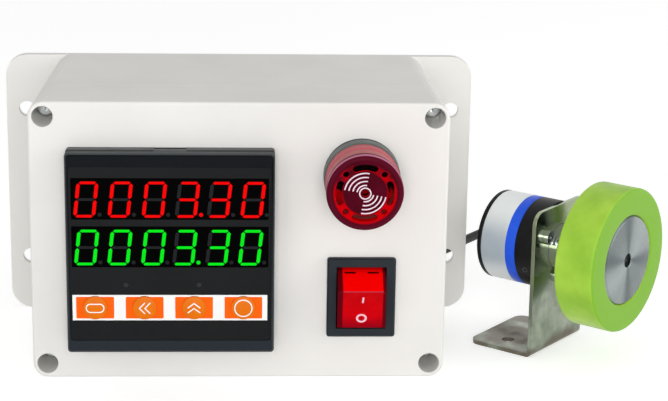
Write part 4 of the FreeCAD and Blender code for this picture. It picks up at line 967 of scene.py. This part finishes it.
def cast_polyurethane():
    """Cast polyurethane, dyed lime: light goes some millimetres into it, so it has no hard shadows.
    Its tread has paler clouds, and painted shade makes its front face a shade deeper."""
    material = finish("lime_cast_polyurethane", "B8E250", "94C63A", 0.34, 0.05, 16, 1.2, 0.003,
                      {"Subsurface Weight": 0.2, "Subsurface Radius": (0.6, 1.0, 0.25),
                       "Subsurface Scale": 0.003, "Specular IOR Level": 0.2})
    # Painted shade: the front face a shade deeper
    return recoloured(material, blended(material, along_shaft(material), *face_painted_shade,
                                        own_colour(material), "7EB42A"))


def faced_aluminium():
    """Aluminium faced in a lathe: rings of a real pitch about the shaft, and a stretched highlight
    that follows them, because the tangent is the axis crossed with the way out from it. A painted
    sheen of light and dark wedges that meet at the middle is in its colour: powers of two waves of
    the angle give two narrow dark pairs, and a third wave makes every other quarter lighter."""
    material = finish("lathe_faced_aluminium", "959D9C", "8D9594", 0.28, 0.03, 5, 0.3, 0.001,
                      {"Metallic": 1.0})
    out = from_encoder(material)
    around = add_node(material, "ShaderNodeVectorMath", {"operation": "CROSS_PRODUCT"},
                      {0: shaft_axis, 1: out}).outputs["Vector"]
    radius = add_node(material, "ShaderNodeVectorMath", {"operation": "LENGTH"}, {0: around}).outputs["Value"]
    phase = add_node(material, "ShaderNodeMath", {"operation": "MULTIPLY"},
                     {0: radius, 1: 2 * np.pi * 1000 / turning_pitch}).outputs[0]
    rings = add_node(material, "ShaderNodeMath", {"operation": "SINE"}, {0: phase}).outputs[0]
    bump = add_node(material, "ShaderNodeBump", {}, {"Height": rings, "Distance": turning_depth / 1000})
    tangent = add_node(material, "ShaderNodeVectorTransform",
                       {"vector_type": "VECTOR", "convert_from": "OBJECT", "convert_to": "WORLD"},
                       {"Vector": around}).outputs["Vector"]
    parts = add_node(material, "ShaderNodeSeparateXYZ", {}, {0: out})
    sideways = add_node(material, "ShaderNodeVectorMath", {"operation": "DOT_PRODUCT"},
                        {0: out, 1: (np.sin(encoder_turn), np.cos(encoder_turn), 0.0)}).outputs["Value"]
    angle = add_node(material, "ShaderNodeMath", {"operation": "ARCTAN2"},
                     {0: parts.outputs["Z"], 1: sideways}).outputs[0]
    # Painted sheen: light and dark wedges in the hub's colour round its axis
    crests = []
    for turn, power in painted_sheen_waves:
        swung = add_node(material, "ShaderNodeMath", {"operation": "MULTIPLY_ADD"},
                         {0: angle, 1: 2.0, 2: np.radians(turn)}).outputs[0]
        wave = add_node(material, "ShaderNodeMath", {"operation": "COSINE"}, {0: swung}).outputs[0]
        crest = add_node(material, "ShaderNodeMath", {"operation": "MULTIPLY_ADD"},
                         {0: wave, 1: 0.5, 2: 0.5}).outputs[0]
        crests.append(add_node(material, "ShaderNodeMath", {"operation": "POWER"},
                               {0: crest, 1: power}).outputs[0])
    dark = add_node(material, "ShaderNodeMath", {"operation": "ADD"},
                    {0: crests[0], 1: crests[1]}).outputs[0]
    swing = add_node(material, "ShaderNodeMath", {"operation": "SUBTRACT"},
                     {0: crests[2], 1: dark}).outputs[0]
    shade = blended(material, swing, *painted_sheen_range, "5E6668", own_colour(material))
    fill(material, shader_of(material), {"Base Color": shade, "Normal": bump.outputs["Normal"],
                                         "Tangent": tangent, "Anisotropic": 0.8})
    return material


tyre = rounded_profile([(wheel_back, hub_radius), (wheel_front, hub_radius),
                        (wheel_front, wheel_radius), (wheel_back, wheel_radius)], tyre_edge, 8)
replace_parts(piece_from("lime_tyre", *turned(tyre, points_round), cast_polyurethane(), "wheel", "tyre"),
            "wheel_tyre")
hub = rounded_profile([
    (wheel_front, bore_radius + bore_bevel), (wheel_front, hub_radius - hub_bevel),
    (wheel_front - hub_bevel, hub_radius), (wheel_back, hub_radius), (wheel_back, hollow_radius),
    (hollow_front, hollow_radius), (hollow_front, boss_radius), (boss_back, boss_radius),
    (boss_back, bore_radius), (wheel_front - bore_bevel, bore_radius)], hub_edge, 3)
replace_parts(piece_from("faced_hub", *turned(hub, points_round), faced_aluminium(), "wheel", "hub"),
            "wheel_hub")
dressed(ground_steel, "hub_grub_screw")

# Encoder cable: 1.47 m of round PVC cable. It leaves the encoder's far side, drops behind the
# enclosure, lies there in a tied coil, and rises to its gland. Inside, a lead of the same PVC goes
# on to the terminals.

cable_radius = 1.8
coil_centre = (24.7, 100.0)
coil_turns = 9.75
coil_layers = 4
coil_step = 4.1
coil_inner_radius = 15.8
coil_floor = 2.65
points_per_turn = 20
drape = [(116.93, 24.56, 39.0), (125.74, 35.44, 39.0), (127.6, 53.3, 35.0), (117.0, 69.0, 27.6),
         (99.1, 75.5, 19.2), (80.0, 74.6, 9.6), (61.4, 72.6, 2.1), (40.27, 73.83, 2.65), (28.29, 74.51, 2.65)]
rise = [(50.19, 96.41, 14.95), (50.87, 84.43, 14.95), (50.0, 68.2, 22.0), (50.0, 56.2, 22.0)]


def coil_points():
    """Points of the coil, clockwise from above: its radius goes in and out at a steady rate, a layer
    at a time, and its height climbs a step in the half turn at each layer's end."""
    turn = np.arange(round(coil_turns * points_per_turn) + 1) / points_per_turn
    layer_turns = (coil_turns - (coil_layers - 1) / 2) / coil_layers
    reach = layer_turns + 0.5
    radius = coil_inner_radius + coil_step * np.abs(reach - (turn + 0.25) % (2 * reach))
    radius /= np.cos(np.pi / points_per_turn)
    layer = np.floor(turn / reach)
    climb = np.maximum(0, (turn - layer * reach - layer_turns) * 2)
    height = coil_floor + coil_step * (layer + climb * climb * (3 - 2 * climb))
    angle = np.radians(-90 - 360 * turn)
    return np.stack([coil_centre[0] + radius * np.cos(angle),
                     coil_centre[1] + radius * np.sin(angle), height], -1)


# PVC sheath: dark grey, smooth, with a dull sheen
pvc_sheath = finish("dark_grey_pvc_sheath", "3A3A39", "313130", 0.45, 0.05, 6, 0.4, 0.006)
route = np.concatenate([drape, coil_points(), rise]) / 1000
line = bpy.data.curves.new("encoder_cable", "CURVE")
line.dimensions = "3D"
line.resolution_u = 6
line.bevel_depth = cable_radius / 1000
line.bevel_resolution = 5
line.use_fill_caps = True
spline = line.splines.new("NURBS")
spline.points.add(len(route) - 1)
spline.points.foreach_set("co", np.concatenate([route, np.ones((len(route), 1))], 1).ravel())
spline.order_u = 3
spline.use_endpoint_u = True
line.materials.append(pvc_sheath)
cable = placed("encoder_cable", line)
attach(cable, "enclosure")
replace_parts(cable, "cable_run", "cable_coil", "cable_rise")
dressed(small_black, "cable_tie")
dressed(pvc_sheath, "inner_lead")

# Studio: a pale floor under a pale sky, one soft lamp in front, a weak one on the left and one on
# the right. Where the camera, metal or clear plastic looks past the object, floor and sky are white.

floor_reach = 30.0
floor_glow = 0.5
sky_strength = 0.48
white = (1.0, 1.0, 1.0, 1.0)
lamp_target = (0.03, 0.0, 0.05)


def backdrop(name, shade, brightness):
    """Pale surface that reads as white in the camera, in metal and in clear plastic, and that keeps
    the object's shadow: its own colour, with some light of its own for those rays."""
    material = bpy.data.materials.new(name)
    material.use_nodes = True
    fill(material, shader_of(material),
         {"Base Color": linear(shade), "Roughness": 0.9, "Specular IOR Level": 0.0,
          "Emission Color": white, "Emission Strength": seen_directly(material, brightness)})
    return material


def seen_directly(material, strength):
    """Strength for camera, glossy and transmitted rays, and zero for the rest."""
    path = add_node(material, "ShaderNodeLightPath", {}, {})
    first = add_node(material, "ShaderNodeMath", {"operation": "MAXIMUM"},
                     {0: path.outputs["Is Camera Ray"], 1: path.outputs["Is Glossy Ray"]})
    second = add_node(material, "ShaderNodeMath", {"operation": "MAXIMUM"},
                      {0: first.outputs[0], 1: path.outputs["Is Transmission Ray"]})
    return add_node(material, "ShaderNodeMath", {"operation": "MULTIPLY"},
                    {0: second.outputs[0], 1: strength}).outputs[0]


floor_mesh = bpy.data.meshes.new("floor")
floor_mesh.from_pydata([(-floor_reach, -floor_reach, 0), (floor_reach, -floor_reach, 0),
                        (floor_reach, floor_reach, 0), (-floor_reach, floor_reach, 0)], [], [(0, 1, 2, 3)])
floor_mesh.materials.append(backdrop("white_floor_paper", "EDEDED", floor_glow))
floor = placed("floor", floor_mesh)

world = bpy.data.worlds.new("pale_sky")
world.use_nodes = True
bpy.context.scene.world = world
sky_light = add_node(world, "ShaderNodeMath", {"operation": "ADD"},
                     {0: seen_directly(world, 1 - sky_strength), 1: sky_strength})
fill(world, world.node_tree.nodes["Background"], {"Color": white, "Strength": sky_light.outputs[0]})


def lamp(name, place, target, size, power):
    """Square area lamp that faces a target."""
    light = bpy.data.lights.new(name, "AREA")
    light.size = size
    light.energy = power
    away = np.array(place, float) - target
    away /= np.linalg.norm(away)
    side = np.cross((0.0, 0.0, 1.0), away)
    side /= np.linalg.norm(side)
    turn = np.stack([side, np.cross(away, side), away], -1)
    placed(name, light).matrix_world = Matrix.Translation(place) @ Matrix(turn.tolist()).to_4x4()


lamp("front_lamp", (0.0, -1.4, 0.35), lamp_target, size=0.6, power=8.3)
lamp("left_lamp", (-0.9, -1.1, 0.5), lamp_target, size=0.8, power=1.8)
lamp("side_lamp", (1.3, -0.3, 0.4), lamp_target, size=0.7, power=6.0)

# Camera: in front of the enclosure and above it, as the photograph was taken, with a long lens. It
# looks down by its pitch, turns to the right by its yaw, and its roll tips it slightly.

camera_place = np.array([0.458, -730.88, 264.23])
camera_yaw = 0.0470
camera_pitch = 0.2796
camera_roll = 0.0156
focal_pixels = 2063.0
frame_width = 668
ahead = np.array([np.sin(camera_yaw) * np.cos(camera_pitch), np.cos(camera_yaw) * np.cos(camera_pitch),
                  -np.sin(camera_pitch)])
level = np.array([np.cos(camera_yaw), -np.sin(camera_yaw), 0.0])
upright = np.cross(level, ahead)
right = np.cos(camera_roll) * level + np.sin(camera_roll) * upright
up = -np.sin(camera_roll) * level + np.cos(camera_roll) * upright
view = bpy.data.cameras.new("camera")
view.sensor_width = 36.0
view.lens = focal_pixels * view.sensor_width / frame_width
view.clip_start = 0.01
camera = placed("camera", view)
camera.matrix_world = (Matrix.Translation(camera_place / 1000)
                       @ Matrix(np.stack([right, up, -ahead], -1).tolist()).to_4x4())
bpy.context.scene.camera = camera
bpy.context.scene.view_settings.view_transform = "Standard"
